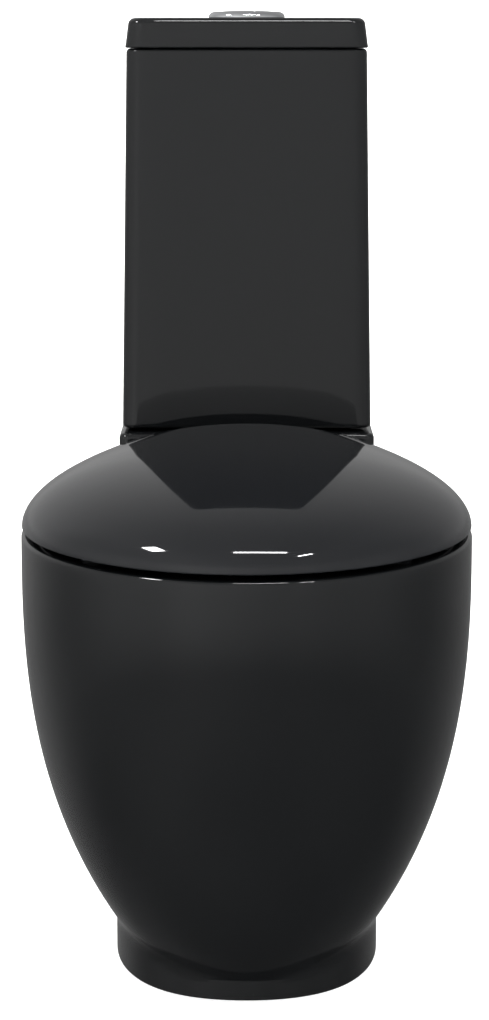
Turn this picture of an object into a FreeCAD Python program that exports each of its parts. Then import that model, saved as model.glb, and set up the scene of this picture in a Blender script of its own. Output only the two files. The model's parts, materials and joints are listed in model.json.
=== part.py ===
"""Close coupled toilet: a ceramic pan and cistern, a soft-close seat, and the flush and fill valves.

Millimetres. +Z is up, the front faces -Y, and the origin is on the floor under the middle of the outline.
"""

import FreeCAD, Part
import math
import os

import Sketcher

PARTS = "parts"
ROUND = 0.5523  # handle length of a curve that draws a quarter of an ellipse
FREE_CENTRE, START, END, CENTRE = -1, 1, 2, 3  # the Sketcher's numbers for the origin and an edge's points

# ---------------------------------------------------------------- sizes

SIZES = [
    # the pan's outer shape
    ("pan_length", 620, "front of the rim to the wall"),
    ("pan_width", 366, "across the rim at its widest"),
    ("rim_height", 380, "floor to the top of the rim"),
    ("deck_rise", 50, "cistern shelf above the rim"),
    ("seat_reach", 240, "front of the rim back to its widest line"),
    ("hull_straight", 20, "upright band below the rim"),
    ("hull_base_width", 195, "width the bowl narrows to at its base"),
    ("hull_base_height", 17, "height of that base above the floor"),
    ("hull_sway", 85, "how far the widest line moves back at the base"),
    ("foot_width", 224, "across the foot and the rear column"),
    ("foot_setback", 176, "front of the rim back to the front of the foot"),
    ("foot_nose", 165, "depth of the foot's rounded front"),
    ("deck_ledge", 14, "shelf left in front of the cistern"),
    ("shoulder_inset", 4, "rear end of the bowl behind the shelf's front"),
    # the pan's walls and passages
    ("china_wall", 12, "outer walls"),
    ("rim_slab", 16, "top of the rim and shelf"),
    ("rim_ledge", 61, "width of the rim beside its opening"),
    ("rim_lip", 32, "depth of the lip inside the opening"),
    ("rim_undercut", 14, "bowl wall set back behind the lip"),
    ("rim_rear", 58, "rear of the opening to the seat's hinge line"),
    ("bowl_wall", 10, "bowl wall"),
    ("sump_half", 34, "half width of the sump"),
    ("sump_length", 58, "length of the sump's floor"),
    ("trap_bore", 36, "radius of the trapway"),
    ("trap_wall", 10, "wall of the trapway"),
    ("trap_bend", 60, "bend radius of the trapway"),
    ("crest_drop", 140, "rim to the middle of the trapway at its crest"),
    ("spigot_radius", 51, "outside of the outlet"),
    ("spigot_length", 45, "straight end of the outlet"),
    ("spigot_inset", 15, "outlet's end in front of the wall"),
    ("duct_bore", 24, "radius of the flush passage"),
    ("duct_wall", 8, "wall of the flush passage"),
    ("duct_drop", 62, "rim to the middle of the flush passage"),
    ("duct_bend", 45, "bend radius of the flush passage"),
    # the cistern
    ("cistern_depth", 170, "front to back at the foot"),
    ("cistern_width", 219.4, "across the foot of the cistern"),
    ("cistern_height", 331, "without its lid"),
    ("cistern_gap", 3, "shelf to the cistern's underside"),
    ("cistern_lean", 4, "front wall's lean to the back"),
    ("cistern_draft", 5, "each side wall's lean inwards"),
    ("cistern_corner", 14, "radius of the upright corners"),
    ("cistern_wall", 9, "walls"),
    ("cistern_floor", 12, "floor"),
    ("lid_height", 26, "lid without its lip"),
    ("lid_overhang", 1, "lid past the cistern on three sides"),
    ("lid_slope", 2.5, "inward slope of the lid's sides"),
    ("lid_plate", 11, "thickness of the lid's top"),
    ("lid_lip", 8, "lip inside the cistern's mouth"),
    ("lid_lip_wall", 6, "thickness of that lip"),
    ("lid_edge", 6, "rounding of the top edge"),
    ("rest_gap", 0.3, "clearance under pieces that rest and lift off"),
    # the seat
    ("seat_inset", 11.5, "seat ring inside the cover's outline"),
    ("seat_thick", 15, "seat ring"),
    ("seat_round", 8, "rounding of the seat ring's upper edges"),
    ("seat_ring_width", 64, "seat ring beside its opening"),
    ("seat_lift", 6, "rim to the underside of the seat ring"),
    ("seat_rear", 20, "rear of the seat ring to the hinge line"),
    ("cover_width", 365, "across the cover"),
    ("cover_lift", 5, "rim to the cover's lower edge"),
    ("cover_rise", 62, "height of the cover's dome"),
    ("cover_skin", 6, "thickness of the cover"),
    ("cover_tail", 20, "cover behind the hinge line"),
    ("cover_tail_half", 148, "half width of the cover's rear end"),
    ("cover_fall", 4.5, "dome's drop at the rear end"),
    ("hinge_back", 41, "hinge line in front of the shelf"),
    ("hinge_rise", 28, "hinge line above the rim"),
    ("hinge_spacing", 155, "between the two seat bolts"),
    ("hinge_pin", 4, "radius of the hinge pins"),
    ("pillar_radius", 11, "hinge pillars"),
    ("barrel_radius", 7, "dampers and bushes"),
    ("knuckle_radius", 10, "knuckles of the seat and the cover"),
    ("knuckle_width", 24, "knuckles along the hinge line"),
    ("knuckle_gap", 2.5, "pillar to knuckle"),
    ("running_fit", 0.05, "radial clearance of a pin that turns"),
    ("push_fit", 0.05, "radial clearance of a piece pushed into its hole"),
    ("screw_fit", 0.5, "radial clearance of a bolt in its hole"),
    ("buffer_thick", 4, "rubber under the cover"),
    ("buffer_side", 70, "those buffers from the middle"),
    ("buffer_back", 75, "those buffers behind the front"),
    ("foot_side", 120, "seat's front feet from the middle"),
    ("foot_front_back", 120, "seat's front feet behind the front"),
    ("foot_rear_forward", 50, "seat's rear feet in front of the hinge line"),
    # the cistern's fittings
    ("button_wall", 83, "wall to the push button and flush valve"),
    ("bezel_radius", 34, "push button's rim"),
    ("bezel_height", 5.5, "its dome"),
    ("collar_radius", 28, "threaded collar through the lid"),
    ("collar_wall", 2, "its wall"),
    ("collar_length", 36, "its length below the lid's top"),
    ("button_travel", 6, "push of each button"),
    ("button_gap", 0.6, "around and between the buttons"),
    ("button_split", 7, "parting line to the right of the middle"),
    ("rod_radius", 3.5, "push rods"),
    ("outlet_radius", 30, "flush valve's threaded outlet"),
    ("outlet_drop", 23, "its threaded end below the cistern"),
    ("washer_thick", 3, "rubber washers"),
    ("recess_radius", 47, "seal's recess in the shelf"),
    ("recess_depth", 22, "depth of that recess"),
    ("tower_radius", 32, "flush valve's tower"),
    ("tower_room", 74, "cistern's top edge to the top of the tower"),
    ("overflow_radius", 13, "overflow pipe"),
    ("fill_side", 70, "fill valve to the left of the middle"),
    ("fill_back", 34, "fill valve behind the flush valve"),
    ("shank_radius", 10.4, "fill valve's threaded shank"),
    ("shank_length", 50, "shank below the cistern"),
    ("fill_height", 250, "fill valve above the cistern's floor"),
    ("lever_length", 40, "fill valve's lever, pivot to link"),
    ("coupling_side", 72, "coupling bolts from the middle"),
    ("coupling_forward", 30, "coupling bolts in front of the flush valve"),
    ("coupling_bolt", 4, "radius of the coupling bolts"),
    # the fixings at the floor
    ("bracket_leg", 40, "legs of the floor brackets"),
    ("bracket_thick", 3, "their plate"),
    ("bracket_length", 46, "their length"),
    ("bracket_forward", 150, "brackets in front of the wall"),
    ("side_screw_height", 24, "side screws above the floor"),
    ("side_screw", 3, "radius of the side screws"),
    ("floor_hole", 4.5, "radius of the brackets' floor holes"),
]


class Size:
    """A length that remembers the spreadsheet expression it comes from."""

    def __init__(self, value, text):
        self.value = float(value)
        self.text = text

    def __add__(self, other):
        other = as_size(other)
        return Size(self.value + other.value, f"({self.text} + {other.text})")

    def __sub__(self, other):
        other = as_size(other)
        return Size(self.value - other.value, f"({self.text} - {other.text})")

    def __mul__(self, other):
        other = as_size(other)
        return Size(self.value * other.value, f"({self.text} * {other.text})")

    def __truediv__(self, other):
        other = as_size(other)
        return Size(self.value / other.value, f"({self.text} / {other.text})")

    def __radd__(self, other):
        return as_size(other) + self

    def __rsub__(self, other):
        return as_size(other) - self

    def __rmul__(self, other):
        return as_size(other) * self

    def __neg__(self):
        return as_size(0) - self


def root(length):
    """A square root, of a size without a unit."""
    return Size(math.sqrt(length.value), f"sqrt({length.text})")


def as_size(number):
    """A plain number as a size, so that both kinds mix."""
    return number if isinstance(number, Size) else Size(number, f"{number:.9f}")


class Sheet:
    """The document's spreadsheet, whose named cells are read as sizes."""

    def __init__(self, document, rows):
        self.cells = document.addObject("Spreadsheet::Sheet", "Sizes")
        self.values = {}
        for row, (name, value, note) in enumerate(rows, start=1):
            self.cells.set(f"A{row}", name)
            self.cells.set(f"B{row}", str(value))
            self.cells.set(f"C{row}", note)
            self.cells.setAlias(f"B{row}", name)
            self.values[name] = value

    def __getattr__(self, name):
        return Size(self.values[name], f"Sizes.{name}")


doc = FreeCAD.newDocument("close_coupled_toilet")
size = Sheet(doc, SIZES)
doc.recompute()

# ---------------------------------------------------------------- places worked out from the sizes

wall = size.pan_length / 2
front = -wall
rim = size.rim_height
deck = rim + size.deck_rise
pan_half = size.pan_width / 2
foot_half = size.foot_width / 2
foot_front = front + size.foot_setback
cistern_front = wall - size.cistern_depth
deck_front = cistern_front - size.deck_ledge
hinge_y = deck_front - size.hinge_back
hinge_z = rim + size.hinge_rise
hinge_x = size.hinge_spacing / 2
widest = front + size.seat_reach
cistern_base = deck + size.cistern_gap
cistern_inside = cistern_base + size.cistern_floor
cistern_top = cistern_base + size.cistern_height
lid_base = cistern_top + size.rest_gap
lid_top = lid_base + size.lid_height
flush_y = wall - size.button_wall
outlet_z = rim - size.crest_drop - size.trap_bend

# ---------------------------------------------------------------- drawing


def vector(point):
    """A point of a sketch as a vector."""
    return FreeCAD.Vector(as_size(point[0]).value, as_size(point[1]).value, 0)


def bind(target, name, value):
    """Sets a property of a feature, and ties it to the sheet if it is a size."""
    if isinstance(value, Size):
        target.setExpression(name, value.text)
    else:
        setattr(target, name, value)


def dimension(sketch, kind, *where, value):
    """Adds a dimension to a sketch and ties it to the sheet."""
    value = as_size(value)
    index = sketch.addConstraint(Sketcher.Constraint(kind, *where, value.value))
    sketch.setExpression(f"Constraints[{index}]", value.text)


def pin_down(sketch, edge, spot, point):
    """Fixes one point of an edge at a place given from the origin."""
    dimension(sketch, "DistanceX", FREE_CENTRE, START, edge, spot, value=point[0])
    dimension(sketch, "DistanceY", FREE_CENTRE, START, edge, spot, value=point[1])


def line(end):
    return ("line", end)


def curve(handle, other_handle, end):
    return ("curve", handle, other_handle, end)


def arc(radius, centre, end):
    """An arc that turns to the left."""
    return ("arc", radius, centre, end)


def arc_back(radius, centre, end):
    """An arc that turns to the right."""
    return ("arc_back", radius, centre, end)


def add_edge(sketch, start, edge):
    """Adds one edge, and gives its number and which of its points are its start and end."""
    kind, *rest = edge
    end = rest[-1]
    if kind == "line":
        return sketch.addGeometry(Part.LineSegment(vector(start), vector(end))), START, END
    if kind == "curve":
        poles = [start, *rest]
        spline = Part.BSplineCurve()
        spline.buildFromPolesMultsKnots([vector(p) for p in poles], [4, 4], [0, 1], False, 3)
        number = sketch.addGeometry(spline)
        sketch.exposeInternalGeometry(number)
        for step, pole in enumerate(poles, start=1):
            pin_down(sketch, number + step, CENTRE, pole)
        return number, START, END
    radius, centre = rest[0], vector(rest[1])
    first, last = (start, end) if kind == "arc" else (end, start)
    angles = [math.atan2(vector(p).y - centre.y, vector(p).x - centre.x) for p in (first, last)]
    ring = Part.Circle(centre, FreeCAD.Vector(0, 0, 1), as_size(radius).value)
    number = sketch.addGeometry(Part.ArcOfCircle(ring, *angles))
    dimension(sketch, "Radius", number, value=radius)
    return (number, START, END) if kind == "arc" else (number, END, START)


def draw(sketch, start, *edges, closed=True):
    """Draws a chain of edges through dimensioned points."""
    here, made = start, []
    for edge in edges:
        made.append((edge, *add_edge(sketch, here, edge)))
        here = edge[-1]
    if not closed:
        pin_down(sketch, made[0][1], made[0][2], start)
        pin_down(sketch, made[-1][1], made[-1][3], here)
    for this, following in zip(made, made[1:] + made[:1] if closed else made[1:]):
        curves = (this[0][0] == "curve") + (following[0][0] == "curve")
        if curves == 0:
            pin_down(sketch, this[1], this[3], this[0][-1])
        if curves < 2:
            meeting = this[1], this[3], following[1], following[2]
            sketch.addConstraint(Sketcher.Constraint("Coincident", *meeting))


def polygon(sketch, points):
    draw(sketch, points[0], *[line(p) for p in points[1:] + points[:1]])


def circle(sketch, centre, radius):
    ring = Part.Circle(vector(centre), FreeCAD.Vector(0, 0, 1), as_size(radius).value)
    number = sketch.addGeometry(ring)
    pin_down(sketch, number, CENTRE, centre)
    dimension(sketch, "Radius", number, value=radius)


def rounded(sketch, left, right, low, high, radius):
    """A rectangle with rounded corners."""
    draw(
        sketch,
        (left + radius, low),
        line((right - radius, low)),
        arc(radius, (right - radius, low + radius), (right, low + radius)),
        line((right, high - radius)),
        arc(radius, (right - radius, high - radius), (right - radius, high)),
        line((left + radius, high)),
        arc(radius, (left + radius, high - radius), (left, high - radius)),
        line((left, low + radius)),
        arc(radius, (left + radius, low + radius), (left + radius, low)),
    )


def egg(sketch, half, near, middle, far, far_half, bulge=0.6):
    """An oval front half, widest at middle, whose sides curve in to a straight rear edge."""
    round_x = half * ROUND
    round_y = (middle - near) * ROUND
    side_y = middle + (far - middle) * bulge
    rear_x = far_half + (half - far_half) * bulge
    draw(
        sketch,
        (as_size(0), near),
        curve((round_x, near), (half, middle - round_y), (half, middle)),
        curve((half, side_y), (rear_x, far), (far_half, far)),
        line((-far_half, far)),
        curve((-rear_x, far), (-half, side_y), (-half, middle)),
        curve((-half, middle - round_y), (-round_x, near), (as_size(0), near)),
    )


def oval(sketch, half, near, far):
    """Four quarters of an ellipse about the middle of near and far."""
    middle = (near + far) / 2
    round_x, round_y, nothing = half * ROUND, (far - near) / 2 * ROUND, as_size(0)
    draw(
        sketch,
        (nothing, near),
        curve((round_x, near), (half, middle - round_y), (half, middle)),
        curve((half, middle + round_y), (round_x, far), (nothing, far)),
        curve((-round_x, far), (-half, middle + round_y), (-half, middle)),
        curve((-half, middle - round_y), (-round_x, near), (nothing, near)),
    )


# ---------------------------------------------------------------- features


def new_body(name):
    body = doc.addObject("PartDesign::Body", name)
    body.Label = name
    return body


def new_sketch(body, role="XY_Plane", offset=None):
    """A sketch on one of the body's own planes, moved along the plane's normal."""
    sketch = body.newObject("Sketcher::SketchObject", f"{body.Name}_sketch")
    sketch.AttachmentSupport = [(next(f for f in body.Origin.OriginFeatures if f.Role == role), "")]
    sketch.MapMode = "FlatFace"
    if offset is not None:
        sketch.setExpression("AttachmentOffset.Base.z", as_size(offset).text)
    return sketch


def pad(body, sketch, length, both_ways=False, backwards=False):
    feature = body.newObject("PartDesign::Pad", f"{body.Name}_pad")
    feature.Profile = sketch
    feature.Midplane = both_ways
    feature.Reversed = backwards
    bind(feature, "Length", length)
    return feature


def pocket(body, sketch, depth=None, both_ways=False, backwards=False):
    """Cuts against the sketch's normal, or through everything if no depth is given."""
    feature = body.newObject("PartDesign::Pocket", f"{body.Name}_pocket")
    feature.Profile = sketch
    feature.Midplane = both_ways
    feature.Reversed = backwards
    if depth is None:
        feature.Type = "ThroughAll"
    else:
        bind(feature, "Length", depth)
    return feature


def loft(body, sketches, cut=False):
    kind = "PartDesign::SubtractiveLoft" if cut else "PartDesign::AdditiveLoft"
    feature = body.newObject(kind, f"{body.Name}_loft")
    feature.Profile = sketches[0]
    feature.Sections = sketches[1:]
    return feature


def pipe(body, profile, spine, cut=False):
    kind = "PartDesign::SubtractivePipe" if cut else "PartDesign::AdditivePipe"
    feature = body.newObject(kind, f"{body.Name}_pipe")
    feature.Profile = profile
    feature.Spine = spine
    return feature


def revolve(body, sketch, axis="V_Axis", cut=False):
    kind = "PartDesign::Groove" if cut else "PartDesign::Revolution"
    feature = body.newObject(kind, f"{body.Name}_turn")
    feature.Profile = sketch
    feature.ReferenceAxis = (sketch, [axis])
    feature.Angle = 360
    return feature


def place(item, x=0, y=0, z=0):
    """Ties a sub-part's place to the sheet."""
    for letter, value in zip("xyz", (x, y, z)):
        item.setExpression(f"Placement.Base.{letter}", as_size(value).text)


def turned(name, points, x=0, y=0, z=0, axis="V_Axis"):
    """A turned piece: points are (radius, height), or (place, radius) about a level axis."""
    body = new_body(name)
    sketch = new_sketch(body, "XZ_Plane")
    polygon(sketch, points)
    revolve(body, sketch, axis)
    place(body, x, y, z)
    return body


def ring(name, inner, outer, low, high, x=0, y=0):
    """A plain washer, bush or tube."""
    return turned(name, [(inner, low), (outer, low), (outer, high), (inner, high)], x, y)


def pair(body):
    """The body and its mirror image across the middle, as one node with the body's name."""
    name = body.Label
    body.Label = f"{name}_right"
    image = doc.addObject("Part::Mirroring", f"{name}_image")
    image.Source = body
    image.Normal = FreeCAD.Vector(1, 0, 0)
    both = doc.addObject("Part::Compound", f"{name}_pair")
    both.Links = [body, image]
    both.Label = name
    return both


def lobed_nut(name, inner, outer, low, high, x=0, y=0, lobes=6):
    """A nut with round lobes to grip."""
    body = ring(name, inner, outer, low, high, x, y)
    sketch = new_sketch(body, offset=high)
    circle(sketch, (outer, as_size(0)), (outer - inner) * 0.45)
    notch = pocket(body, sketch)
    pattern = body.newObject("PartDesign::PolarPattern", f"{name}_lobes")
    pattern.Originals = [notch]
    pattern.Axis = (sketch, ["N_Axis"])
    pattern.Angle = 360
    pattern.Occurrences = lobes
    body.Tip = pattern
    return body


def wing_nut(name, bore, low, high, x=0, y=0):
    """A plastic nut with two wings."""
    hub, reach, leaf = bore + 4, bore + 14, as_size(3)
    body = ring(name, bore, hub, low, high, x, y)
    for side in (-1, 1):
        sketch = new_sketch(body, "XZ_Plane")
        near, far = hub * side * 0.8, reach * side
        polygon(sketch, [(near, low), (far, low - 5), (far, low + (high - low) / 2), (near, high)])
        pad(body, sketch, leaf, both_ways=True)
    return body


# ---------------------------------------------------------------- the pan

HULL_POWER = 2.45  # how suddenly the bowl narrows towards its base
HULL_STATIONS = (0.15, 0.3, 0.45, 0.6, 0.75, 0.9, 1)
BOWL_POWER = 1.2
BOWL_STATIONS = (0, 0.08, 0.2, 0.35, 0.5, 0.65, 0.82, 1)
FOOT_BULGE = 0.65  # squarer than an ellipse
SLOPE = 0.5  # the trapway falls from its crest at 60 degrees, whose cosine this is
RUN = math.sqrt(1 - SLOPE**2)

trap_end = wall - size.spigot_inset
trap_turn = trap_end - size.spigot_length - size.trap_bend * (2 + 2 * RUN)
crest_z = rim - size.crest_drop
trap_low = crest_z - size.trap_bend * 2
sump_far = trap_turn - 14
duct_z = rim - size.duct_drop
inlet_x = -size.fill_side
inlet_y = flush_y + size.fill_back
coupling_y = flush_y - size.coupling_forward
bracket_y = wall - size.bracket_forward


def hull_section(body, share, height, inset=0):
    """The bowl's outline, share of the way from its upright band (0) to its base (1)."""
    fall = share**HULL_POWER
    half = pan_half - (pan_half - size.hull_base_width / 2) * fall - inset
    near = front + size.foot_setback * fall + inset
    middle = widest + size.hull_sway * fall
    far = deck_front + size.shoulder_inset - inset
    sketch = new_sketch(body, offset=height)
    egg(sketch, half, near, middle, far, half * foot_half / pan_half)
    return sketch


def hull_height(share):
    top = rim - size.hull_straight
    return top - (top - size.hull_base_height) * share


def column(sketch, inset, far):
    """The foot and rear column: a rounded front and parallel sides."""
    half, near = foot_half - inset, foot_front + inset
    straight = foot_front + size.foot_nose
    handle_x, handle_y = half * FOOT_BULGE, straight - (straight - near) * FOOT_BULGE
    draw(
        sketch,
        (as_size(0), near),
        curve((handle_x, near), (half, handle_y), (half, straight)),
        line((half, far)),
        line((-half, far)),
        line((-half, straight)),
        curve((-half, handle_y), (-handle_x, near), (as_size(0), near)),
    )


def bowl_section(body, share, outset=0, height=None):
    """The inside of the bowl, share of the way from the sump's floor (0) to the underside of the lip (1)."""
    fullness = math.sin(math.pi / 2 * share) ** BOWL_POWER
    top_half = pan_half - size.rim_ledge + size.rim_undercut
    top_near = front + size.rim_ledge - size.rim_undercut
    top_far = hinge_y - size.rim_rear + size.rim_undercut
    sump_near = sump_far - size.sump_length
    floor = trap_low - size.trap_bore
    half = size.sump_half + (top_half - size.sump_half) * fullness + outset
    near = sump_near + (top_near - sump_near) * fullness - outset
    far = sump_far + (top_far - sump_far) * fullness + outset
    if height is None:
        height = floor + (rim - size.rim_lip - floor) * share - (outset if share == 0 else 0)
    sketch = new_sketch(body, offset=height)
    oval(sketch, half, near, far)
    return sketch


def trapway(body, radius, start, cut=False):
    """The bent tube from the sump over the crest and down to the outlet."""
    bend, side = size.trap_bend, size.trap_bend * RUN
    crest_y = trap_turn + bend * 2
    level_y = crest_y + side * 2
    profile = new_sketch(body, "XZ_Plane", -start)
    circle(profile, (as_size(0), trap_low), radius)
    spine = new_sketch(body, "YZ_Plane")
    draw(
        spine,
        (start, trap_low),
        line((trap_turn, trap_low)),
        arc(bend, (trap_turn, outlet_z), (trap_turn + bend, outlet_z)),
        arc_back(bend, (crest_y, outlet_z), (crest_y + side, outlet_z + bend * SLOPE)),
        arc(bend, (level_y, crest_z), (level_y, outlet_z)),
        line((trap_end, outlet_z)),
        closed=False,
    )
    return pipe(body, profile, spine, cut)


def flush_passage(body, radius, top, cut=False):
    """The bent tube from the shelf down and forward into the bowl's rear wall."""
    bend = size.duct_bend
    profile = new_sketch(body, offset=top)
    circle(profile, (as_size(0), flush_y), radius)
    spine = new_sketch(body, "YZ_Plane")
    draw(
        spine,
        (flush_y, top),
        line((flush_y, duct_z + bend)),
        arc_back(bend, (flush_y - bend, duct_z + bend), (flush_y - bend, duct_z)),
        line((hinge_y - size.rim_rear, duct_z)),
        closed=False,
    )
    return pipe(body, profile, spine, cut)


def make_pan():
    pan = new_body("pan")
    outside = [hull_section(pan, 0, rim), hull_section(pan, 0, hull_height(0))]
    loft(pan, outside + [hull_section(pan, s, hull_height(s)) for s in HULL_STATIONS])
    outline = new_sketch(pan)
    column(outline, 0, wall)
    pad(pan, outline, rim)
    shelf = new_sketch(pan, offset=rim)
    corner = 8
    near = deck_front + corner
    draw(
        shelf,
        (-foot_half + corner, deck_front),
        line((foot_half - corner, deck_front)),
        arc(corner, (foot_half - corner, near), (foot_half, near)),
        line((foot_half, wall)),
        line((-foot_half, wall)),
        line((-foot_half, near)),
        arc(corner, (-foot_half + corner, near), (-foot_half + corner, deck_front)),
    )
    pad(pan, shelf, size.deck_rise)

    # hollow inside, open below and behind
    skin = size.china_wall
    inside = [hull_section(pan, 0, rim - size.rim_slab, skin)]
    inside += [hull_section(pan, s, hull_height(s) + skin, skin) for s in HULL_STATIONS[:-1]]
    loft(pan, inside, cut=True)
    hollow = new_sketch(pan, offset=rim - size.rim_slab)
    column(hollow, skin, wall + 10)
    pocket(pan, hollow)
    hollow = new_sketch(pan, offset=deck - size.rim_slab)
    inner, near, far = foot_half - skin, deck_front + skin, wall + 10
    polygon(hollow, [(-inner, near), (inner, near), (inner, far), (-inner, far)])
    pocket(pan, hollow, size.deck_rise)

    # the bowl, the trapway and the flush passage: first their walls, then their bores
    thick = size.bowl_wall
    walls = [bowl_section(pan, s, thick) for s in BOWL_STATIONS]
    loft(pan, walls + [bowl_section(pan, 1, thick, rim - size.rim_slab / 2)])
    trapway(pan, size.trap_bore + size.trap_wall, trap_turn - 18)
    spigot = new_sketch(pan, "XZ_Plane", -trap_end)
    circle(spigot, (as_size(0), outlet_z), size.spigot_radius)
    pad(pan, spigot, size.spigot_length)
    web = new_sketch(pan, "XZ_Plane", -(trap_end - size.spigot_length))
    reach, inner = size.spigot_radius + 30, foot_half - skin / 2
    polygon(web, [(-inner, outlet_z - reach), (inner, outlet_z - reach), (inner, crest_z), (-inner, crest_z)])
    pad(pan, web, thick)
    seat_of_seal = new_sketch(pan, offset=deck - size.recess_depth - thick)
    circle(seat_of_seal, (as_size(0), flush_y), size.recess_radius + thick)
    pad(pan, seat_of_seal, size.recess_depth)
    flush_passage(pan, size.duct_bore + size.duct_wall, deck - size.recess_depth)

    loft(pan, [bowl_section(pan, s) for s in BOWL_STATIONS], cut=True)
    opening = new_sketch(pan, offset=rim)
    oval(opening, pan_half - size.rim_ledge, front + size.rim_ledge, hinge_y - size.rim_rear)
    pocket(pan, opening, size.rim_lip)
    trapway(pan, size.trap_bore, trap_turn - 40, cut=True)
    recess = new_sketch(pan, offset=deck)
    circle(recess, (as_size(0), flush_y), size.recess_radius)
    pocket(pan, recess, size.recess_depth)
    flush_passage(pan, size.duct_bore, deck - size.recess_depth, cut=True)

    # holes for the seat, the coupling bolts, the water inlet and the side screws
    seat_holes = new_sketch(pan, offset=rim)
    for side in (-1, 1):
        circle(seat_holes, (hinge_x * side, hinge_y), 7)
    pocket(pan, seat_holes, size.rim_slab * 2)
    deck_holes = new_sketch(pan, offset=deck)
    for side in (-1, 1):
        circle(deck_holes, (size.coupling_side * side, coupling_y), size.coupling_bolt + 1.5)
    circle(deck_holes, (inlet_x, inlet_y), size.shank_radius + 12)
    pocket(pan, deck_holes, size.rim_slab * 2)
    side_holes = new_sketch(pan, "YZ_Plane")
    circle(side_holes, (bracket_y, size.side_screw_height), size.side_screw + 1)
    pocket(pan, side_holes, size.pan_width, both_ways=True)
    return pan


# ---------------------------------------------------------------- the cistern


def tank_section(body, height, share, inset=0):
    """The cistern's outline, share of the way up its leaning walls."""
    half = size.cistern_width / 2 - size.cistern_draft * share - inset
    near = cistern_front + size.cistern_lean * share + inset
    sketch = new_sketch(body, offset=height)
    rounded(sketch, -half, half, near, wall - inset, size.cistern_corner - inset)
    return sketch


def make_cistern_tank():
    tank = new_body("cistern_tank")
    loft(tank, [tank_section(tank, cistern_base, 0), tank_section(tank, cistern_top, 1)])
    skin = size.cistern_wall
    inside = [tank_section(tank, cistern_inside, 0, skin), tank_section(tank, cistern_top, 1, skin)]
    loft(tank, inside, cut=True)
    holes = new_sketch(tank, offset=cistern_inside)
    circle(holes, (as_size(0), flush_y), size.outlet_radius + 1)
    circle(holes, (inlet_x, inlet_y), size.shank_radius + 1)
    for side in (-1, 1):
        circle(holes, (size.coupling_side * side, coupling_y), size.coupling_bolt + 1.5)
    pocket(tank, holes)
    return tank


def lid_section(body, height, inset):
    half = size.cistern_width / 2 - size.cistern_draft + size.lid_overhang - inset
    near = cistern_front + size.cistern_lean - size.lid_overhang + inset
    sketch = new_sketch(body, offset=height)
    rounded(sketch, -half, half, near, wall - inset, size.cistern_corner)
    return sketch


def make_cistern_lid():
    lid = new_body("cistern_lid")
    nothing = as_size(0)
    shoulder = lid_top - size.lid_edge
    loft(lid, [lid_section(lid, lid_base, nothing), lid_section(lid, shoulder, size.lid_slope)])
    turns = [math.radians(angle) for angle in (0, 30, 60, 90)]
    insets = [size.lid_slope + size.lid_edge * (1 - math.cos(turn)) for turn in turns]
    loft(lid, [lid_section(lid, shoulder + size.lid_edge * math.sin(t), i) for t, i in zip(turns, insets)])
    lip_out = size.cistern_wall + size.lid_overhang + 1
    lip_in = lip_out + size.lid_lip_wall
    pad(lid, lid_section(lid, lid_base, lip_out), size.lid_lip, backwards=True)
    hollow = lid_section(lid, lid_base - size.lid_lip, lip_in)
    pocket(lid, hollow, size.lid_lip + size.lid_height - size.lid_plate, backwards=True)
    hole = new_sketch(lid, offset=lid_top)
    circle(hole, (as_size(0), flush_y), size.collar_radius + size.screw_fit)
    pocket(lid, hole, size.lid_height)
    return lid


# ---------------------------------------------------------------- the push button

button_radius = size.collar_radius - size.collar_wall - size.button_gap
web_z = lid_top - size.collar_length
button_base = lid_top - size.button_travel - 4
button_crown = lid_top + size.bezel_height
rod_x = (size.button_split - button_radius) / 2, (size.button_split + button_radius) / 2
rod_top = button_base + 3
rod_low = cistern_top - size.tower_room + 30


def make_button_housing():
    """The chrome rim with its threaded collar, and a web at the bottom that guides both rods."""
    inner, outer = size.collar_radius - size.collar_wall, size.collar_radius
    dome = size.bezel_height
    flare = size.bezel_radius
    points = [
        (0, web_z), (outer, web_z), (outer, lid_top), (flare, lid_top), (flare, lid_top + 1),
        (flare - 1, lid_top + dome * 0.5), (flare - 3, lid_top + dome * 0.8),
        (inner + 1, lid_top + dome), (inner, lid_top + dome), (inner, web_z + 3), (0, web_z + 3),
    ]
    housing = turned("button_housing", points, y=flush_y)
    holes = new_sketch(housing, offset=web_z + 3)
    for x in rod_x:
        circle(holes, (x, as_size(0)), size.rod_radius + size.running_fit)
    pocket(housing, holes, 3.5)
    return housing


def make_button(name, left):
    """One of two chrome buttons, either side of the parting line, with a domed top."""
    body = new_body(name)
    top = button_crown
    sketch = new_sketch(body, "XZ_Plane")
    edge = button_radius
    crown = [(edge, top - 0.8), (edge * 0.93, top), (0, top + 1)]
    polygon(sketch, [(0, button_base), (edge, button_base), *crown])
    revolve(body, sketch)
    cut = new_sketch(body, offset=button_base)
    half_gap, reach = size.button_gap / 2, size.bezel_radius
    if left:
        side, far = size.button_split - half_gap, reach
    else:
        side, far = size.button_split + half_gap, -reach
    polygon(cut, [(side, -reach), (far, -reach), (far, reach), (side, reach)])
    pocket(body, cut, size.collar_length, backwards=True)
    socket = new_sketch(body, offset=button_base)
    circle(socket, (rod_x[0] if left else rod_x[1], as_size(0)), size.rod_radius + size.push_fit)
    pocket(body, socket, rod_top - button_base, backwards=True)
    place(body, y=flush_y)
    return body


def make_push_button():
    rods = [
        ring(name, as_size(0), size.rod_radius, rod_low, rod_top, x, flush_y)
        for name, x in (("full_flush_rod", rod_x[0]), ("half_flush_rod", rod_x[1]))
    ]
    nut_low = lid_base + size.lid_height - size.lid_plate - 8
    collar = size.collar_radius + size.push_fit
    nut = lobed_nut("button_nut", collar, collar + 8, nut_low, nut_low + 8, y=flush_y)
    buttons = [make_button("full_flush_button", True), make_button("half_flush_button", False)]
    return [make_button_housing(), nut, *buttons, *rods]


# ---------------------------------------------------------------- the flush valve

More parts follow.
